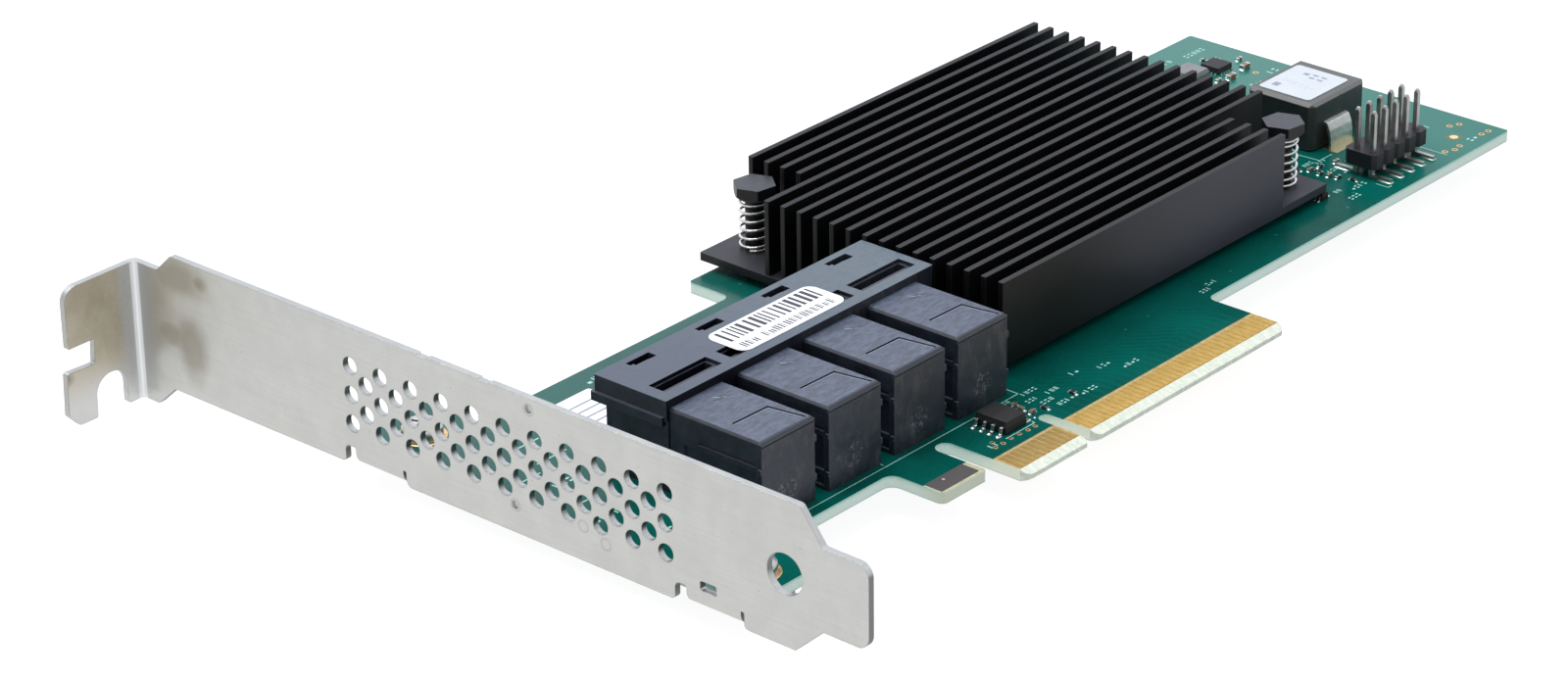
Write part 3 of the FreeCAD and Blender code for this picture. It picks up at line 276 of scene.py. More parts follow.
def mat_bracket():
    M = Mat("bright_plate")
    x, y, z = M.xyz()
    nx, ny, nz = M.nrm()
    mottled = M.noise(0.22, 5, 0.62, stretch=(1, 1, 0.8))
    fine = M.noise(9.0, 3, 0.6, stretch=(1, 0.35, 1.6))
    brushed = M.noise(1.6, 4, 0.6, stretch=(1, 0.06, 2.4), seed=14)
    base = M.mix(M.ramp(mottled, 0.3, 0.72), (0.635, 0.645, 0.635), (0.705, 0.715, 0.70))
    base = M.mix(M.ramp(brushed, 0.35, 0.75, 0, 0.3), base, (0.56, 0.56, 0.54))
    # warm grey fields near the fold, as a dull reflection
    wob = M.math("MULTIPLY", M.math("SUBTRACT", M.noise(0.35, 3, 0.5, seed=5), 0.5), 0.55)
    front = M.ramp(M.math("MULTIPLY", nx, -1.0), 0.5, 0.9)
    broad = M.blob((0, 96.2, 13.4), (3, 6.2, 2.8), 0.35, 1.2, wob)
    deep = M.blob((0, 92.3, 13.7), (3, 2.1, 1.5), 0.1, 1.15, wob)
    low = M.blob((0, 94.2, 4.3), (3, 3.1, 4.9), 0.4, 1.2, wob)
    arm = M.blob((0, 98.2, 5.3), (3, 3.2, 2.1), 0.35, 1.2, wob)
    by_fold = M.math("MULTIPLY", M.ramp(y, 96.0, 101.0), M.between(z, -2.0, 15.0, 2.0))
    bl = M.math("MAXIMUM", M.math("MAXIMUM", M.math("MULTIPLY", broad, 0.5), M.math("MULTIPLY", deep, 0.85)), M.math("MULTIPLY", low, 0.72))
    bl = M.math("MAXIMUM", bl, M.math("MAXIMUM", M.math("MULTIPLY", by_fold, 0.4), M.math("MULTIPLY", arm, 0.62)))
    pale = M.math("MAXIMUM", M.blob((0, 98.8, 0.9), (3, 2.6, 2.8), 0.3, 1.15, wob), M.blob((0, 94.9, 10.0), (3, 2.6, 2.0), 0.3, 1.2, wob))
    bl = M.math("MULTIPLY", M.math("MULTIPLY", bl, front), M.math("SUBTRACT", 1.0, M.math("MULTIPLY", pale, 0.85)))
    base = M.mix(M.math("MULTIPLY", bl, 0.85), base, (0.315, 0.28, 0.215))
    cool = M.math("MULTIPLY", M.math("MULTIPLY", front, M.ramp(y, 100.3, 101.9)), M.ramp(z, -4.2, -3.2))
    base = M.mix(M.math("MULTIPLY", cool, 0.5), base, (0.50, 0.51, 0.52))
    # ear face, warm and darker above, lighter at its lower leg
    earf = M.math("MULTIPLY", M.ramp(M.math("MULTIPLY", ny, -1.0), 0.5, 0.9), M.ramp(y, 103.0, 104.0))
    base = M.mix(M.math("MULTIPLY", earf, 0.9), base, M.mix(M.ramp(mottled, 0.3, 0.72), (0.76, 0.765, 0.75), (0.84, 0.84, 0.82)))
    shade = M.math("MULTIPLY", earf, M.ramp(M.math("ADD", z, M.math("MULTIPLY", mottled, 4.0)), -1.5, 5.5, 0.1, 0.95))
    warm = M.mix(M.ramp(x, -3.6, -1.6), M.mix(M.ramp(mottled, 0.35, 0.65), (0.60, 0.53, 0.40), (0.70, 0.635, 0.505)), (0.68, 0.69, 0.69))
    warm = M.mix(M.ramp(brushed, 0.3, 0.7, 0, 0.3), warm, (0.5, 0.44, 0.33))
    base = M.mix(shade, base, warm)
    corner = M.blob((-12.2, 104.16, 1.6), (1.7, 3, 1.3), 0.2, 1.1, wob)
    base = M.mix(M.math("MULTIPLY", M.math("MULTIPLY", corner, earf), 0.6), base, (0.2, 0.18, 0.15))
    # painted highlight: the bright line along the inside of the fold
    fold = M.math("MULTIPLY", M.between(x, -0.7, 0.45, 0.1), M.ramp(y, 103.3, 103.6))
    base = M.mix(M.math("MULTIPLY", fold, 0.95), base, (0.97, 0.985, 1.0))
    # painted shade: a dark line along each rim of the faces; the sheared thickness itself is duller
    rim_shade = edge_mask(M, 0.22, 5.0)
    flatf = M.math("MAXIMUM", front, earf)
    base = M.mix(M.math("MULTIPLY", M.math("MULTIPLY", rim_shade, flatf), M.ramp(M.noise(0.8, 2, seed=31), 0.35, 0.65, 0.2, 0.75)), base, (0.16, 0.16, 0.155))
    base = M.mix(M.math("MULTIPLY", M.ramp(nz, 0.75, 0.95), 0.8), base, (0.40, 0.405, 0.40))
    # painted shade on the walls of the vents
    vent_wall_shade = M.math("MULTIPLY", M.ramp(M.math("ABSOLUTE", nx), 0.3, 0.6, 1, 0), M.ramp(nz, 0.1, 0.5, 1, 0))
    vent_wall_shade = M.math("MULTIPLY", vent_wall_shade, M.ramp(y, 101.0, 102.0, 1, 0))
    shallow = M.math("MAXIMUM", M.blob((0, 36.7, 14.55), (1, 1.1, 1.1), 0.9, 1.0), M.blob((0, 39.33, 1.3), (1, 1.1, 1.1), 0.9, 1.0))
    vent_wall_shade = M.math("MULTIPLY", vent_wall_shade, M.math("SUBTRACT", 1.0, shallow))
    base = M.mix(M.math("MULTIPLY", vent_wall_shade, 0.75), base, (0.1, 0.1, 0.1))
    # scratches
    sc = M.cells(0.5, "DISTANCE_TO_EDGE", 1.0, M.vec("MULTIPLY", M.co(), (1, 0.55, 2.2)))
    scr = M.math("MULTIPLY", M.ramp(sc, 0.0, 0.012, 1, 0), M.ramp(M.noise(0.3, 2, seed=9), 0.62, 0.72))
    base = M.mix(M.math("MULTIPLY", scr, 0.35), base, (0.42, 0.40, 0.37))
    specks = M.ramp(M.cells(0.8, "F1", 1.0), 0.05, 0.075, 1, 0)
    specks = M.math("MULTIPLY", specks, M.ramp(M.noise(0.2, 1, seed=4), 0.52, 0.58))
    base = M.mix(M.math("MULTIPLY", specks, 0.6), base, (0.25, 0.24, 0.22))
    for cy, cz in ((36.7, 14.55), (39.33, 1.3), (28.5, 2.2), (25.0, 1.0)):
        v = M.node("ShaderNodeVectorMath", operation="DISTANCE")
        M.link(M.co(), v.inputs[0])
        v.inputs[1].default_value = (0, cy, cz)
        ring = M.math("MULTIPLY", M.between(v.outputs["Value"], 0.62, 0.86, 0.1), front)
        base = M.mix(M.math("MULTIPLY", ring, 0.35), base, (0.34, 0.34, 0.33))
    rough = M.math("ADD", M.ramp(mottled, 0.2, 0.8, 0.3, 0.42), M.math("MULTIPLY", fine, 0.08))
    h = M.math("ADD", M.math("MULTIPLY", M.noise(0.45, 3, 0.55, seed=1), 1.0), M.math("MULTIPLY", fine, 0.05))
    n = M.bump(h, 0.16, 0.12, M.edge(0.12))
    return M.set(color=base, metal=0.93, rough=rough, normal=n)


def mat_moulding(name="connector_plastic", base=(0.010, 0.0135, 0.022), hi=(0.021, 0.028, 0.044)):
    M = Mat(name)
    nx, ny, nz = M.nrm()
    x, y, z = M.xyz()
    n1 = M.noise(0.55, 5, 0.65)
    n2 = M.noise(5.5, 3, 0.6)
    up = M.ramp(nz, 0.6, 0.95)
    c = M.mix(M.ramp(n1, 0.35, 0.7), base, hi)
    # painted top sheen: upward faces lighter and bluer
    c = M.mix(M.math("MULTIPLY", up, 0.5), c, (0.050, 0.060, 0.088))
    tops = M.math("MULTIPLY", up, M.between(z, 10.98, 11.3, 0.04))
    groove_shade = M.between(z, 10.72, 10.9, 0.04)
    streak = M.noise(1.3, 5, 0.7, stretch=(0.55, 1.5, 1), seed=17)
    # block tops: streaky texture, made lighter and bluer as a painted top sheen
    c = M.mix(M.math("MULTIPLY", tops, M.ramp(streak, 0.32, 0.7, 0.12, 0.95)), c, (0.086, 0.108, 0.164))
    # painted light on the bar's own top: darker near the bracket, growing paler away from it
    bar_top = M.math("MULTIPLY", up, M.ramp(z, 11.6, 11.9))
    pale = M.mix(M.ramp(x, 18.0, 60.0), (0.062, 0.077, 0.111), (0.091, 0.121, 0.150))
    c = M.mix(M.math("MULTIPLY", bar_top, M.ramp(streak, 0.3, 0.7, 0.66, 0.98)), c, pale)
    c = M.mix(M.ramp(n2, 0.45, 0.85, 0, 0.3), c, (0.06, 0.065, 0.08))
    # brownish scuffs on the faces towards -Y
    front = M.ramp(M.math("MULTIPLY", ny, -1.0), 0.7, 0.95)
    sc = M.math("MULTIPLY", M.ramp(M.noise(0.42, 6, 0.72, stretch=(1.6, 1, 0.7), seed=3), 0.5, 0.64), front)
    c = M.mix(M.math("MULTIPLY", sc, 0.42), c, (0.078, 0.072, 0.074))
    fl = M.ramp(M.cells(1.7, "DISTANCE_TO_EDGE", 1.0, M.vec("ADD", M.co(), M.vec("SCALE", M.co(), (0, 0, 0)))), 0.0, 0.05, 1, 0)
    fl = M.math("MULTIPLY", M.math("MULTIPLY", fl, front), M.ramp(M.noise(0.6, 3, seed=8), 0.56, 0.66))
    c = M.mix(M.math("MULTIPLY", fl, 0.5), c, (0.15, 0.165, 0.19))
    # a round patch of pale specks low on each of the four fronts
    u = M.node("ShaderNodeMath", operation="WRAP")
    M.feed(u.inputs[0], M.math("SUBTRACT", x, 20.2))
    u.inputs[1].default_value, u.inputs[2].default_value = 5.975, -5.975
    v = M.math("SUBTRACT", z, 3.3)
    r2 = M.math("ADD", M.math("MULTIPLY", u.outputs[0], u.outputs[0]), M.math("MULTIPLY", v, v))
    patch = M.math("MULTIPLY", M.ramp(r2, 1.6, 3.8, 1, 0), M.ramp(M.noise(2.6, 4, 0.75, seed=21), 0.53, 0.6))
    c = M.mix(M.math("MULTIPLY", M.math("MULTIPLY", patch, front), 0.55), c, (0.24, 0.25, 0.27))
    w = edge_mask(M, 0.16, 5.0)
    c = M.mix(M.math("MULTIPLY", w, 0.4), c, (0.15, 0.165, 0.20))
    # painted shade on the groove floors of the block tops
    c = M.mix(M.math("MULTIPLY", groove_shade, M.math("MULTIPLY", up, 0.92)), c, (0.0025, 0.003, 0.005))
    # the bar's face above the blocks is in shade near the bracket
    shade = M.math("MULTIPLY", M.math("MULTIPLY", front, M.ramp(y, 27.0, 27.6)), M.ramp(x, 26.0, 56.0, 1, 0))
    c = M.mix(M.math("MULTIPLY", shade, 0.95), c, (0.004, 0.005, 0.010))
    rough = M.ramp(n1, 0.2, 0.8, 0.36, 0.5)
    h = M.math("ADD", M.noise(11, 3, 0.65), M.math("MULTIPLY", n1, 0.6))
    n = M.bump(h, 0.32, 0.03, M.edge(0.1))
    return M.set(color=c, rough=rough, normal=n, ior=1.5, spec=M.math("SUBTRACT", 0.5, M.math("MULTIPLY", shade, 0.34)))


def mat_anodised():
    M = Mat("black_anodised")
    x, y, z = M.xyz()
    nx, ny, nz = M.nrm()
    n1 = M.noise(0.25, 4, 0.6, stretch=(0.3, 1, 1))
    n2 = M.noise(7.0, 3, 0.6, stretch=(0.25, 1, 1.4))
    c = M.mix(n1, (0.0018, 0.0018, 0.0026), (0.0038, 0.0038, 0.0052))
    w = edge_mask(M, 0.14, 5.0)
    c = M.mix(M.math("MULTIPLY", w, 0.3), c, (0.04, 0.04, 0.048))
    # painted top sheen: fin tops made lighter
    tops = M.math("MULTIPLY", M.ramp(nz, 0.7, 0.95), M.ramp(z, 12.2, 12.4))
    c = M.mix(M.math("MULTIPLY", tops, 0.14), c, (0.022, 0.021, 0.028))
    # painted top sheen on the base's upward faces
    shelf = M.math("MULTIPLY", M.ramp(nz, 0.7, 0.95), M.ramp(z, 6.0, 5.5))
    c = M.mix(M.math("MULTIPLY", shelf, 0.7), c, (0.038, 0.04, 0.05))
    # painted sheen on the face towards the contacts, stronger away from the bracket
    front_sheen = M.math("MULTIPLY", M.ramp(M.math("MULTIPLY", ny, -1.0), 0.6, 0.95), M.ramp(x, 72.0, 112.0))
    front_sheen = M.math("MULTIPLY", front_sheen, M.ramp(y, 21.0, 20.5))
    c = M.mix(M.math("MULTIPLY", front_sheen, M.ramp(n1, 0.2, 0.8, 0.7, 1.0)), c, (0.050, 0.052, 0.068))
    rough = M.ramp(M.math("ADD", M.math("MULTIPLY", n1, 0.6), M.math("MULTIPLY", n2, 0.4)), 0.25, 0.75, 0.36, 0.5)
    h = M.math("ADD", M.math("MULTIPLY", M.noise(14, 3, 0.6), 0.6), n2)
    n = M.bump(h, 0.16, 0.02, M.edge(0.08))
    return M.set(color=c, rough=rough, normal=n, metal=0.1, ior=1.5, spec=0.32)


def mat_black(name, base=(0.012, 0.012, 0.0135), rough0=0.42, hi=(0.022, 0.022, 0.025), top=0.0):
    M = Mat(name)
    n1 = M.noise(1.4, 4, 0.6)
    c = M.mix(n1, base, hi)
    # painted top sheen: upward faces made lighter, scaled by top
    if top:
        c = M.mix(M.math("MULTIPLY", M.ramp(M.nrm()[2], 0.7, 0.95), top), c, (0.06, 0.063, 0.078))
    w = edge_mask(M, 0.12, 5.0)
    c = M.mix(M.math("MULTIPLY", w, 0.35), c, (0.1, 0.1, 0.105))
    n = M.bump(M.noise(16, 3, 0.6), 0.25, 0.02, M.edge(0.08))
    return M.set(color=c, rough=M.ramp(n1, 0.2, 0.8, rough0 - 0.06, rough0 + 0.1), normal=n, ior=1.5, spec=0.36)


def mat_metal(name, lo, hi, r0=0.2, r1=0.35, scale=3.0, bump=0.15, metal=1.0, flat=False):
    M = Mat(name)
    n1 = M.noise(scale, 4, 0.6)
    c = M.mix(M.ramp(n1, 0.3, 0.7), lo, hi)
    n = M.bump(M.noise(scale * 4, 3, 0.6), bump, 0.02, None if flat else M.edge(0.05))
    return M.set(color=c, metal=metal, rough=M.ramp(n1, 0.25, 0.75, r0, r1), normal=n)


def mat_fingers():
    M = Mat("finger_gold")
    x, y, z = M.xyz()
    n1 = M.noise(0.8, 4, 0.6)
    n2 = M.noise(6.0, 4, 0.65, stretch=(2.2, 0.35, 1))
    c = M.mix(M.ramp(n1, 0.3, 0.7), (0.66, 0.415, 0.095), (0.79, 0.52, 0.14))
    c = M.mix(M.ramp(n2, 0.5, 0.8, 0, 0.5), c, (0.56, 0.33, 0.09))
    c = M.mix(M.ramp(x, 57.0, 60.5, 0.65, 0), c, (0.36, 0.25, 0.095))
    c = M.mix(M.ramp(y, 4.8, 5.05, 0, 0.6), c, (0.85, 0.78, 0.6))
    n = M.bump(n2, 0.12, 0.02)
    return M.set(color=c, metal=0.85, rough=M.ramp(n2, 0.25, 0.75, 0.28, 0.42), normal=n)


def mat_paper(name="label_white", lo=(0.74, 0.76, 0.80), hi=(0.84, 0.85, 0.88)):
    M = Mat(name)
    n1 = M.noise(0.5, 4, 0.6)
    c = M.mix(n1, lo, hi)
    n = M.bump(M.noise(5.0, 4, 0.6), 0.12, 0.02, M.edge(0.05))
    return M.set(color=c, rough=M.ramp(n1, 0.2, 0.8, 0.32, 0.45), normal=n, ior=1.45)


def mat_ink(name, col, r=0.5):
    M = Mat(name)
    n1 = M.noise(4.0, 3, 0.6)
    c = M.mix(M.ramp(n1, 0.3, 0.8, 0, 0.4), col, tuple(min(1, v * 1.5 + 0.02) for v in col))
    n = M.bump(n1, 0.08, 0.01)
    return M.set(color=c, rough=r, normal=n)


def mat_ferrite():
    M = Mat("pressed_powder")
    n1 = M.noise(0.7, 4, 0.6)
    nx, ny, nz = M.nrm()
    c = M.mix(n1, (0.010, 0.013, 0.014), (0.022, 0.026, 0.027))
    w = edge_mask(M, 0.3, 3.5)
    x, y, z = M.xyz()
    sl = M.math("MULTIPLY", M.ramp(z, 6.45, 6.6), M.ramp(z, 7.02, 6.98))
    c = M.mix(M.math("MULTIPLY", w, 0.75), c, (0.20, 0.205, 0.195))
    c = M.mix(M.math("MULTIPLY", sl, 0.8), c, (0.15, 0.155, 0.145))
    n = M.bump(M.noise(9.0, 4, 0.65), 0.3, 0.03, M.edge(0.12))
    return M.set(color=c, rough=M.ramp(n1, 0.2, 0.8, 0.33, 0.45), normal=n, ior=1.55)


def mat_small(name, lo, hi, r=0.5, metal=0.0, scale=4.0, flat=False):
    M = Mat(name)
    n1 = M.noise(scale, 3, 0.6)
    c = M.mix(n1, lo, hi)
    n = M.bump(M.noise(scale * 3, 3, 0.6), 0.15, 0.02, None if flat else M.edge(0.04))
    return M.set(color=c, rough=r, metal=metal, normal=n)


board = mat_board()
plate = mat_bracket()
plastic = mat_moulding()
anod = mat_anodised()
post_black = mat_black("post_black", (0.005, 0.005, 0.007), 0.36, (0.010, 0.010, 0.013), 0.6)
base_black = mat_black("header_black", (0.008, 0.008, 0.011), 0.4, (0.015, 0.015, 0.019))
epoxy = mat_black("package_epoxy", (0.009, 0.009, 0.010), 0.5, (0.018, 0.017, 0.019))
chrome = mat_metal("spring_bright", (0.72, 0.71, 0.67), (0.88, 0.87, 0.84), 0.1, 0.2, 2.0, 0.08)
tin = mat_metal("tin_grey", (0.44, 0.43, 0.41), (0.60, 0.59, 0.57), 0.34, 0.44, 0.5, 0.02, 1.0, True)
tin_bright = mat_metal("tin_bright", (0.66, 0.67, 0.65), (0.86, 0.87, 0.86), 0.2, 0.35, 3.0, 0.2)
solder = mat_metal("solder", (0.62, 0.64, 0.62), (0.86, 0.88, 0.86), 0.18, 0.34, 2.2, 0.35)
screw_m = mat_metal("screw_plated", (0.5, 0.49, 0.46), (0.7, 0.69, 0.66), 0.25, 0.4, 2.0, 0.15)
gold_f = mat_fingers()
gold = mat_metal("gold_plated", (0.72, 0.47, 0.2), (0.86, 0.62, 0.3), 0.25, 0.4, 2.5, 0.15)
paper = mat_paper()
paper_low = mat_paper("label_white_soft", (0.46, 0.50, 0.535), (0.53, 0.565, 0.60))
solder_dull = mat_metal("solder_dull", (0.30, 0.33, 0.30), (0.54, 0.58, 0.54), 0.34, 0.46, 1.0, 0.14, 1.0, True)
ring_gold = mat_metal("ring_gold", (0.62, 0.42, 0.2), (0.8, 0.58, 0.3), 0.3, 0.45, 2.5, 0.1, 1.0, True)
ferrite = mat_ferrite()
strap_m = mat_metal("strap_tin", (0.5, 0.53, 0.5), (0.66, 0.69, 0.65), 0.3, 0.45, 1.2, 0.2)
taupe = mat_small("tab_pad", (0.050, 0.045, 0.046), (0.076, 0.068, 0.068), 0.5, 0.18, 2.0, True)
cap_m = mat_small("ceramic_brown", (0.16, 0.085, 0.05), (0.26, 0.15, 0.09), 0.4)
res_m = mat_small("resistor_black", (0.012, 0.012, 0.013), (0.03, 0.03, 0.033), 0.35)
sub_m = mat_small("substrate_green", (0.006, 0.05, 0.03), (0.01, 0.08, 0.05), 0.4)
die_m = mat_small("die_dark", (0.03, 0.03, 0.034), (0.05, 0.05, 0.056), 0.12, 0.3)
pad_m = mat_small("thermal_grey", (0.2, 0.2, 0.21), (0.28, 0.28, 0.29), 0.75)
choke_m = mat_small("choke_grey", (0.16, 0.165, 0.17), (0.26, 0.26, 0.27), 0.3, 0.5, 1.0)
silk = mat_ink("silk_ink", (0.27, 0.50, 0.46), 0.45)
ink = mat_ink("label_ink", (0.018, 0.019, 0.03), 0.55)
ink_soft = mat_ink("label_ink_grey", (0.22, 0.24, 0.30), 0.55)
via_hole_shade = mat_ink("via_hole_shade", (0.02, 0.012, 0.008), 0.5)

CAD = {
    "circuit_board": board, "mounting_bracket": plate, "bracket_screws": screw_m, "connector_shroud": plastic,
    "terminal_block_1": plastic, "terminal_block_2": plastic, "terminal_block_3": plastic, "terminal_block_4": plastic,
    "port_contacts": gold, "connector_tails": solder, "shroud_label": paper, "board_label": paper, "heatsink": anod,
    "controller_package": sub_m, "controller_die": die_m, "thermal_pad": pad_m, "heatsink_post_1": post_black,
    "heatsink_post_2": post_black, "post_spring_1": chrome, "post_spring_2": chrome, "post_retainers": post_black,
    "inductor_core": ferrite, "inductor_terminals": strap_m, "inductor_label": paper_low, "header_base": base_black,
    "header_pins": tin, "memory_chip_body": epoxy, "memory_chip_leads": tin_bright, "regulator_body": epoxy,
    "regulator_leads": tin_bright, "chip_inductor": choke_m, "supervisor_body": epoxy, "supervisor_leads": tin_bright,
    "chip_capacitors": cap_m, "chip_resistors": res_m, "chip_terminations": solder, "edge_contacts": gold_f, "tab_contact": taupe,
}
for name, m in CAD.items():
    o = N[name]
    o.data.materials.clear()
    o.data.materials.append(m)


# ------------------------------------------------------------------ mesh kit
def make(name, verts, faces, mat, smooth=False):
    me = bpy.data.meshes.new(name)
    me.from_pydata([(x * MM, y * MM, z * MM) for x, y, z in verts], [], faces)
    me.validate()
    me.update()
    if smooth:
        for p in me.polygons:
            p.use_smooth = True
    me.materials.append(mat)
    o = bpy.data.objects.new(name, me)
    scene.collection.objects.link(o)
    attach(o, "root")
    return o


class Build:
    def __init__(self):
        self.v, self.f = [], []

    def slab(self, pts, z0, z1, bottom=False):
        """Upright prism over a polygon given anticlockwise."""
        n, k = len(pts), len(self.v)
        self.v += [(x, y, z0) for x, y in pts] + [(x, y, z1) for x, y in pts]
        self.f.append(tuple(range(k + n, k + 2 * n)))
        if bottom:
            self.f.append(tuple(reversed(range(k, k + n))))
        for i in range(n):
            j = (i + 1) % n
            self.f.append((k + i, k + j, k + n + j, k + n + i))

    def bar(self, x0, y0, x1, y1, w, z0, z1):
        """Thin prism of width w from one point to another."""
        dx, dy = x1 - x0, y1 - y0
        ln = math.hypot(dx, dy)
        px, py = -dy / ln * w / 2, dx / ln * w / 2
        self.slab([(x0 - px, y0 - py), (x1 - px, y1 - py), (x1 + px, y1 + py), (x0 + px, y0 + py)], z0, z1)

    def rect(self, x0, y0, x1, y1, z0, z1):
        self.slab([(x0, y0), (x1, y0), (x1, y1), (x0, y1)], z0, z1)

    def ring(self, cx, cy, ri, ro, z0, z1, seg=20):
        k = len(self.v)
        for i in range(seg):
            a = 2 * math.pi * i / seg
            c, s = math.cos(a), math.sin(a)
            self.v += [(cx + ro * c, cy + ro * s, z0), (cx + ro * 0.97 * c, cy + ro * 0.97 * s, z1),
                       (cx + ri * c, cy + ri * s, z1), (cx + ri * c, cy + ri * s, z0)]
        for i in range(seg):
            a, b = k + 4 * i, k + 4 * ((i + 1) % seg)
            self.f += [(a, b, b + 1, a + 1), (a + 1, b + 1, b + 2, a + 2), (a + 2, b + 2, b + 3, a + 3)]

    def disc(self, cx, cy, r, z, seg=14):
        k = len(self.v)
        self.v += [(cx + r * math.cos(2 * math.pi * i / seg), cy + r * math.sin(2 * math.pi * i / seg), z) for i in range(seg)]
        self.f.append(tuple(range(k, k + seg)))

    def mound(self, x0, y0, x1, y1, z0, z1, inset=0.35):
        """Low pillow, as solder that has flowed over a pad."""
        k = len(self.v)
        cx, cy, hx, hy = (x0 + x1) / 2, (y0 + y1) / 2, (x1 - x0) / 2, (y1 - y0) / 2
        m = min(hx, hy)
        rings = [(0.0, 0.0), (0.18, 0.45), (0.45, 0.8), (0.85, 1.0)]
        seg = 16
        for t, h in rings:
            ax, ay = hx - m * t, hy - m * t
            for i in range(seg):
                a = 2 * math.pi * (i + 0.5) / seg
                c, s = math.cos(a), math.sin(a)
                e = 0.45
                self.v.append((cx + ax * math.copysign(abs(c) ** e, c), cy + ay * math.copysign(abs(s) ** e, s), z0 + (z1 - z0) * h))
        for r in range(len(rings) - 1):
            for i in range(seg):
                j = (i + 1) % seg
                a, b = k + r * seg, k + (r + 1) * seg
                self.f.append((a + i, a + j, b + j, b + i))
        a = k + (len(rings) - 1) * seg
        self.f.append(tuple(range(a, a + seg)))

    def done(self, name, mat, smooth=False):
        return make(name, self.v, self.f, mat, smooth)


rnd = random.Random(11)
Z1 = 0.012     # top of print on the board


# ------------------------------------------------------------------ print on the board
def marks(B, x, y, count, size, along=0.0, gap=0.3, z0=0.0, z1=Z1):
    """A short row of plain bars and blocks of uneven size."""
    ca, sa = math.cos(math.radians(along)), math.sin(math.radians(along))

    def block(u0, v0, u1, v1):
        v = (v0 + v1) / 2
        B.bar(x + u0 * ca - v * sa, y + u0 * sa + v * ca, x + u1 * ca - v * sa, y + u1 * sa + v * ca, v1 - v0, z0, z1)

    for i in range(count):
        u = i * size * (0.62 + gap)
        k = rnd.randrange(4)
        g = size * 0.5
        if k == 0:
            block(u, 0, u + g, size * 0.26), block(u, size * 0.62, u + g, size * 0.88)
        elif k == 1:
            block(u, 0, u + g * 0.36, size * 0.9), block(u + g * 0.72, 0, u + g * 1.08, size * 0.9)
        elif k == 2:
            block(u, size * 0.1, u + g, size * 0.5)
        else:
            block(u, 0, u + g * 0.42, size * 0.9)


P = Build()
# outline of the port bar
for a, b in (((16.4, 13.95), (36.6, 13.95)), ((36.6, 13.95), (62.0, 13.95)), ((62.0, 13.95), (62.0, 28.9)), ((15.0, 13.95), (15.0, 28.0))):
    P.bar(*a, *b, 0.14, 0, Z1)
P.bar(36.9, 14.4, 36.9, 15.2, 0.14, 0, Z1)
# by the memory chip
P.bar(51.6, 7.55, 57.2, 7.55, 0.15, 0, Z1)
P.bar(57.2, 7.55, 57.2, 8.0, 0.15, 0, Z1)
for x, y, c, s in ((48.6, 7.2, 2, 1.0), (57.6, 13.2, 3, 0.85), (58.0, 15.3, 3, 0.85), (60.0, 17.9, 3, 0.8),
                   (60.8, 11.3, 3, 0.8), (62.0, 13.0, 4, 0.8), (61.8, 9.7, 3, 0.85), (62.9, 8.0, 4, 0.85),
                   (64.4, 11.0, 3, 0.85), (67.0, 7.6, 4, 0.85), (70.3, 11.9, 2, 0.95), (74.0, 10.4, 3, 0.85), (76.2, 8.2, 4, 0.85),
                   (99.5, 12.6 + 1.0, 3, 0.8), (101.8, 14.4, 3, 0.8)):
    marks(P, x, y, c, s, 0)
# round the inductor and the header
P.bar(143.1, 30.2, 143.4, 26.4, 0.14, 0, Z1)
P.bar(143.4, 26.4, 146.2, 26.4, 0.14, 0, Z1)
P.bar(143.1, 30.2, 143.1, 40.4, 0.14, 0, Z1)
P.bar(143.1, 40.4, 157.4, 40.4, 0.14, 0, Z1)
P.bar(141.9, 16.2, 141.9, 14.2, 0.14, 0, Z1)
P.bar(141.9, 14.2, 142.7, 14.2, 0.14, 0, Z1)
P.bar(155.9, 14.2, 155.9, 23.6, 0.14, 0, Z1)
for x, y, c, s in ((136.2, 28.8, 3, 0.9), (140.4, 26.6, 3, 0.8), (142.3, 25.8, 3, 0.8), (141.0, 22.9, 4, 0.8), (142.2, 21.3, 3, 0.8),
                   (138.4, 17.2, 4, 0.9), (136.0, 18.4, 2, 0.8), (135.6, 15.6, 3, 0.9), (158.5, 24.2, 3, 1.1), (157.2, 27.0, 3, 1.0),
                   (160.2, 21.3, 3, 1.0), (149.5, 25.2, 4, 0.9), (162.0, 14.2, 2, 1.1), (159.0, 33.0, 3, 1.0), (159.6, 37.0, 4, 1.0),
                   (160.4, 44.6, 4, 1.0), (158.8, 48.4, 3, 1.0), (164.2, 49.2, 2, 1.2), (161.2, 61.8, 5, 1.0), (155.4, 62.6, 4, 1.0),
                   (147.2, 63.6, 5, 1.1), (147.6, 61.4, 4, 1.1), (141.4, 63.8, 4, 1.1), (136.5, 64.6, 4, 1.1), (152.4, 51.2, 3, 0.9),
                   (143.0, 44.4, 3, 0.9), (155.4, 45.6, 4, 0.9)):
    marks(P, x, y, c, s, 0)
# behind the bracket, seen through the vents
for x, y, c, s in ((20.0, 44.0, 6, 1.4), (8.0, 40.2, 4, 1.2), (4.6, 30.5, 4, 1.2), (7.8, 22.6, 4, 1.2), (30.5, 56.0, 7, 1.3), (36.0, 47.5, 5, 1.3)):
    marks(P, x, y, c, s, 0)
P.bar(10.8, 50.9, 15.9, 50.9, 0.24, 0, Z1)
P.bar(10.8, 48.6, 15.9, 48.6, 0.2, 0, Z1)
P.bar(10.8, 46.3, 15.9, 46.3, 0.2, 0, Z1)
P.bar(5.5, 44.5, 9.5, 44.5, 0.2, 0, Z1)
P.bar(5.5, 35.5, 9.5, 35.5, 0.2, 0, Z1)
P.done("board_print", silk)

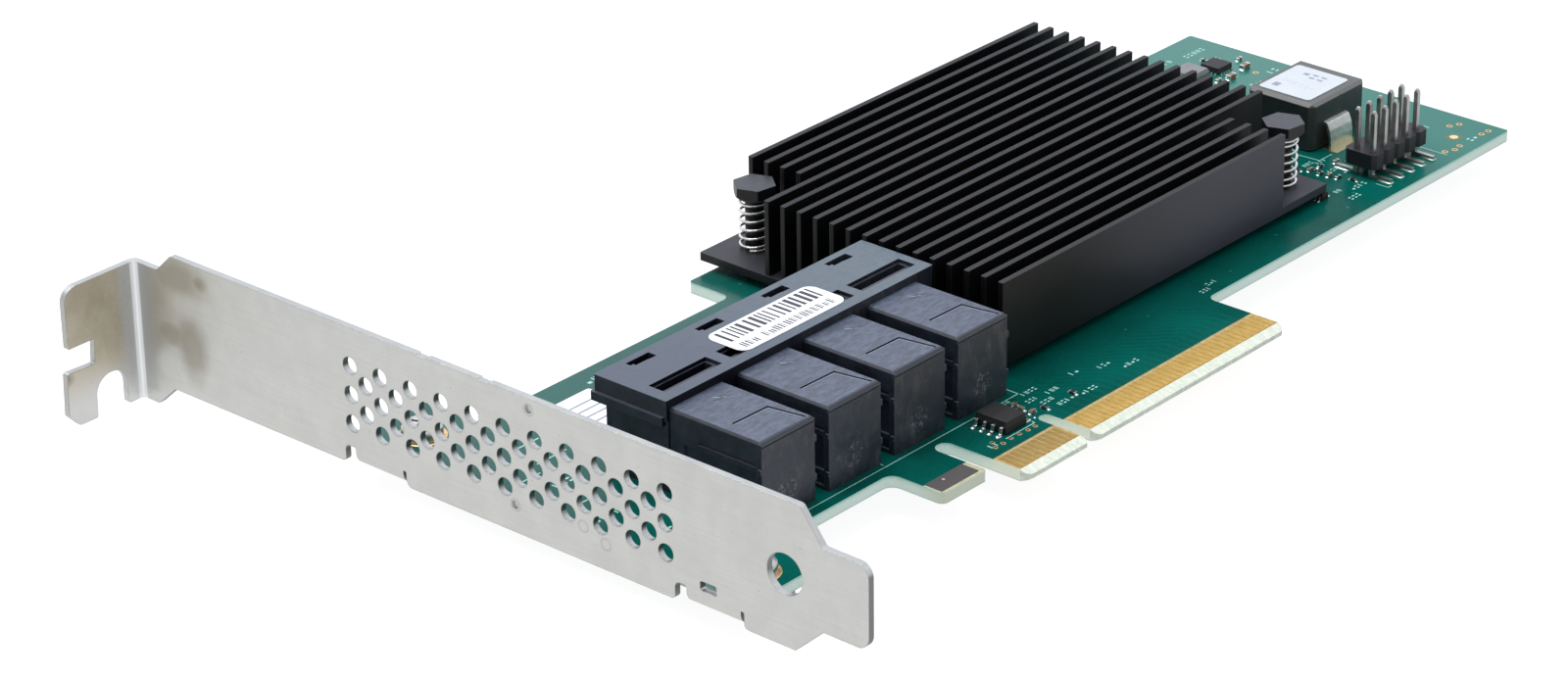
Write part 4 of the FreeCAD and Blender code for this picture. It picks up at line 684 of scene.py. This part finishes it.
# ------------------------------------------------------------------ vias, rings, fiducial
G = Build()
# D holds dark discs, painted shade inside each via hole
D = Build()
vias = [(49.71, 8.14), (49.02, 7.08), (50.45, 7.05), (52.09, 7.33 - 0.15), (53.64, 7.10), (55.12, 6.96), (56.49, 6.94)]
for x, y in vias:
    G.ring(x, y, 0.17, 0.36, 0, 0.03)
    D.disc(x, y, 0.18, 0.008)
for x, y in [(165.73, 18.76), (164.36, 19.46), (166.32, 14.40), (164.82, 14.52), (159.56, 14.58), (158.08, 14.38), (156.61, 15.01),
             (163.0, 51.2)]:
    G.ring(x, y, 0.2, 0.46, 0, 0.03)
    D.disc(x, y, 0.21, 0.008)
for x, y in ((7.6, 8.9), (7.6, 62.3)):
    G.ring(x, y, 1.75, 3.1, 0, 0.04, 48)
small = []
for i in range(150):
    x = rnd.uniform(17, 166)
    y = rnd.uniform(13.5, 65)
    if x < 61.5 and y > 58 or 13 < x < 64.5 and 13.5 < y < 42 or 64 < x < 134.5 and 17.8 < y < 69 or 142 < x < 158.5 and 14 < y < 42:
        continue
    small.append((x, y))
G.done("via_rings", ring_gold)
D.done("via_hole_shade_discs", via_hole_shade)
K = Build()
for x, y in small:
    K.ring(x, y, 0.08, 0.2, 0, 0.01, 10)
K.done("covered_vias", mat_small("via_mask", (0.002, 0.15, 0.11), (0.004, 0.19, 0.14), 0.3, 0.0, 1.0, True))
F = Build()
F.disc(161.6, 16.9, 0.62, 0.02, 24)
F.done("fiducial_dot", mat_metal("fiducial_gold", (0.9, 0.66, 0.35), (0.98, 0.8, 0.52), 0.35, 0.5, 2.0, 0.1, 1.0, True))
F = Build()
F.ring(161.6, 16.9, 0.66, 1.25, 0, 0.006, 32)
F.done("fiducial_clearance", mat_ink("fiducial_laminate", (0.05, 0.10, 0.045), 0.4))

# ------------------------------------------------------------------ solder and pads
H = Build()
S = Build()
for i in range(4):
    y = 10.5 - 1.905 + i * 1.27
    S.mound(52.3 - 1.35, y - 0.3, 52.3 - 0.35, y + 0.3, 0, 0.16)
    S.mound(56.2 + 0.35, y - 0.3, 56.2 + 1.35, y + 0.3, 0, 0.16)
for i in range(5):
    x = 143.4 + 2.54 * i
    H.mound(x - 0.52, 14.5, x + 0.52, 17.0, 0, 0.16)
    H.mound(x - 0.52, 21.4, x + 0.52, 23.9, 0, 0.16)
for y in (18.8, 19.45, 20.1):
    S.mound(131.95, y - 0.2, 132.6, y + 0.2, 0, 0.1)
for y in (18.8, 20.1):
    S.mound(134.1, y - 0.2, 134.8, y + 0.2, 0, 0.1)
chips = [(58.9, 12.25, 0, 1.0, 0.5), (58.8, 10.95, 1, 1.0, 0.5), (59.0, 9.4, 0, 1.0, 0.5), (139.95, 22.4, 0, 1.0, 0.5),
         (139.8, 25.4, 0, 1.0, 0.5), (144.3, 24.3, 0, 1.0, 0.5), (163.3, 53.3, 0, 1.6, 0.8), (162.9, 57.9, 1, 1.0, 0.5),
         (165.2, 55.7, 0, 1.0, 0.5), (159.0, 52.6, 0, 1.6, 0.8), (157.0, 53.3, 0, 1.0, 0.5), (60.95, 8.95, 1, 1.0, 0.5),
         (66.3, 8.85, 1, 1.0, 0.5), (138.8, 26.8, 1, 1.0, 0.5), (139.7, 23.75, 0, 1.0, 0.5), (141.6, 25.1, 0, 1.0, 0.5),
         (140.2, 21.15, 0, 1.0, 0.5), (140.8, 19.1, 1, 1.0, 0.5), (161.7, 59.2, 1, 1.0, 0.5)]
for x, y, along, ln, sh in chips:
    for s in (-1, 1):
        u = s * (ln / 2 + 0.02)
        cx, cy = (x, y + u) if along else (x + u, y)
        hx, hy = (sh * 0.52, 0.26) if along else (0.26, sh * 0.52)
        S.mound(cx - hx, cy - hy, cx + hx, cy + hy, 0, 0.16)
S.mound(58.0, 8.2, 58.35, 8.55, 0, 0.1)
S.done("solder_fillets", solder, True)
H.done("header_pads", solder_dull, True)
S = Build()
S.rect(146.9, 26.0, 152.9, 28.6, 0, 0.035)
S.rect(146.9, 40.0, 152.9, 42.6, 0, 0.035)
S.done("strap_pads", mat_metal("pad_gold_pale", (0.62, 0.53, 0.3), (0.76, 0.68, 0.42), 0.28, 0.4, 1.5, 0.2, 1.0, True))

# ------------------------------------------------------------------ sticker print
L = Build()
zt = 12.20
x = 31.9
while x < 48.6:
    w = rnd.choice((0.3, 0.34, 0.5, 0.62))
    L.rect(x, 33.75, x + w, 36.7, zt, zt + 0.012)
    x += w + rnd.choice((0.38, 0.42, 0.55, 0.75))
for i in range(17):
    if i == 3:
        continue
    x0, h = 32.0 + i * 0.99, rnd.choice((1.0, 1.35, 1.35))
    L.rect(x0, 31.45, x0 + 0.24, 31.45 + h, zt, zt + 0.012)
    L.rect(x0 + 0.44, 31.45, x0 + 0.44 + rnd.choice((0.12, 0.24)), 31.45 + h, zt, zt + 0.012)
L.done("shroud_label_print", ink)
L = Build()
zt = 0.08
for y in (48.4, 49.9, 51.4, 52.9):
    L.rect(19.4, y, 28.2, y + 0.3, zt, zt + 0.012)
L.done("board_label_print", ink_soft)
L = Build()
zt = 7.08
L.rect(147.1, 36.45, 148.3, 37.45, zt, zt + 0.012)
L.done("inductor_label_mark", ink_soft)
L = Build()
for i in range(6):
    marks(L, 149.6 + 0.15 * i, 31.9 + i * 1.0, 1, 1.15, 90, z0=zt, z1=zt + 0.012)
L.done("inductor_label_faint", mat_ink("label_ink_pale", (0.42, 0.44, 0.5), 0.55))
L = Build()
for i in range(3):
    marks(L, 153.6, 32.6 + i * 1.35, 1, 1.7, 90, z0=zt, z1=zt + 0.012)
L.done("inductor_label_line", ink_soft)

# ------------------------------------------------------------------ rubbed marks and nicks on the four block tops, with a painted highlight along each top groove's rim
R1, R2 = Build(), Build()
for i in range(4):
    lo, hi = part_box("terminal_block_%d" % (i + 1))
    bx, bz = lo[0] / MM, hi[2] / MM
    # painted highlight along the rim of the top groove
    groove_rim_highlight = [(1.98, 20.60), (7.60, 20.41), (8.00, 18.1), (8.44, 15.8)]
    for a, b in zip(groove_rim_highlight, groove_rim_highlight[1:]):
        R2.bar(bx + a[0], a[1], bx + b[0], b[1], 0.11, bz, bz + 0.012)
    x0 = 21.4 + 11.95 * i
    R1.bar(x0 - 0.9, 26.6, x0 + 0.4, 26.2, 0.13, bz, bz + 0.012)
    R1.bar(x0 + 0.3, 26.8, x0 + 1.7, 25.95, 0.08, bz, bz + 0.012)
    R2.bar(x0 - 0.3, 27.25, x0 + 0.25, 26.45, 0.16, bz, bz + 0.012)
    R2.bar(x0 + 0.55, 26.45, x0 + 0.95, 26.1, 0.1, bz, bz + 0.012)
R1.done("block_nicks_dark", mat_ink("nick_dark", (0.006, 0.007, 0.010), 0.5))
R2.done("block_nicks_pale_and_groove_highlight", mat_ink("nick_pale_and_groove_highlight", (0.19, 0.22, 0.29), 0.45))
W = Build()
W.disc(38.65, 6.65, 0.2, 0.062, 16)
W.done("tab_via", mat_ink("tab_via_tin", (0.42, 0.36, 0.37), 0.4))

# ------------------------------------------------------------------ fine coil springs over the CAD ones
def coil(name, x, y, start):
    R, wr = 1.97, 0.19
    zlo, zhi = 2.2 + wr + 0.01, 9.35 - wr - 0.01
    turns = [(1.0, 0.46), (4.85, (zhi - zlo - 0.92) / 4.85), (1.0, 0.46)]
    pts = []
    a, z = math.radians(start), zlo
    pts.append((a, z))
    for tn, pitch in turns:
        k = int(round(tn * 40))
        for j in range(k):
            a += tn / k * 2 * math.pi
            z += tn / k * pitch
            pts.append((a, z))
    seg = 12
    v, f = [], []
    for i, (a, z) in enumerate(pts):
        c, s = math.cos(a), math.sin(a)
        for j in range(seg):
            b = 2 * math.pi * j / seg
            rr = R + wr * math.cos(b)
            v.append((x + rr * c, y + rr * s, z + wr * math.sin(b)))
    for i in range(len(pts) - 1):
        for j in range(seg):
            k = (j + 1) % seg
            f.append((i * seg + j, i * seg + k, (i + 1) * seg + k, (i + 1) * seg + j))
    f.append(tuple(reversed(range(seg))))
    f.append(tuple(range((len(pts) - 1) * seg, len(pts) * seg)))
    return make(name, v, f, chrome, True)


for n, (x, y, st) in enumerate(((70.3, 63.9, 200), (129.8, 23.2, 20)), 1):
    o = coil("coil_%d" % n, x, y, st)
    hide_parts("post_spring_%d" % n)

# ------------------------------------------------------------------ stage and light
FLOOR = -5.3
me = bpy.data.meshes.new("floor")
me.from_pydata([(-6, -6, FLOOR * MM), (8, -6, FLOOR * MM), (8, 8, FLOOR * MM), (-6, 8, FLOOR * MM)], [], [(0, 1, 2, 3)])
M = Mat("floor_white")
me.materials.append(M.set(color=(0.16, 0.16, 0.16), rough=0.9, spec=0.1, glow=(1, 1, 1), glow_s=0.93))
floor = bpy.data.objects.new("floor", me)
floor.visible_glossy = False
floor.visible_diffuse = False
scene.collection.objects.link(floor)

# soft studio dome: bright behind and above, a darker card low at the front right
world = bpy.data.worlds.new("studio")
world.use_nodes = True
wt = world.node_tree
wt.nodes.clear()
wo = wt.nodes.new("ShaderNodeOutputWorld")
bg = wt.nodes.new("ShaderNodeBackground")
wt.links.new(bg.outputs[0], wo.inputs[0])
tc = wt.nodes.new("ShaderNodeTexCoord")


def toward(direction, lo, hi):
    d = wt.nodes.new("ShaderNodeVectorMath")
    d.operation = "DOT_PRODUCT"
    v = Vector(direction).normalized()
    d.inputs[1].default_value = v
    wt.links.new(tc.outputs["Generated"], d.inputs[0])
    m = wt.nodes.new("ShaderNodeMapRange")
    m.interpolation_type = "SMOOTHSTEP"
    m.inputs["From Min"].default_value = lo
    m.inputs["From Max"].default_value = hi
    wt.links.new(d.outputs["Value"], m.inputs["Value"])
    return m.outputs[0]


def blend(f, a, b):
    n = wt.nodes.new("ShaderNodeMix")
    n.data_type = "RGBA"
    wt.links.new(f, n.inputs[0])
    for sock, v in ((n.inputs[6], a), (n.inputs[7], b)):
        if isinstance(v, tuple):
            sock.default_value = (*v, 1)
        else:
            wt.links.new(v, sock)
    return n.outputs[2]


lower = blend(toward((-0.75, 0.66, 0), -0.55, 0.45), (0.84, 0.85, 0.87), (0.93, 0.925, 0.91))
upper = blend(toward((0.7, 0.65, 0.2), -0.3, 0.75), (0.62, 0.63, 0.65), (1.0, 1.04, 1.13))
dome = blend(toward((0, 0, 1), -0.1, 0.12), lower, upper)
wt.links.new(dome, bg.inputs[0])
bg.inputs[1].default_value = 1.0
scene.world = world


def area(name, loc, look, size, power):
    l = bpy.data.lights.new(name, "AREA")
    l.energy = power
    l.size = size
    o = bpy.data.objects.new(name, l)
    o.location = loc
    d = Vector(look) - Vector(loc)
    o.rotation_euler = d.to_track_quat("-Z", "Y").to_euler()
    scene.collection.objects.link(o)
    return o


area("key_light", (0.05, 0.25, 0.8), (0.08, 0.04, 0), 0.6, 7.0)

scene.view_settings.view_transform = "Standard"
scene.view_settings.look = "None"
scene.view_settings.exposure = 0.0
scene.view_settings.gamma = 1.0
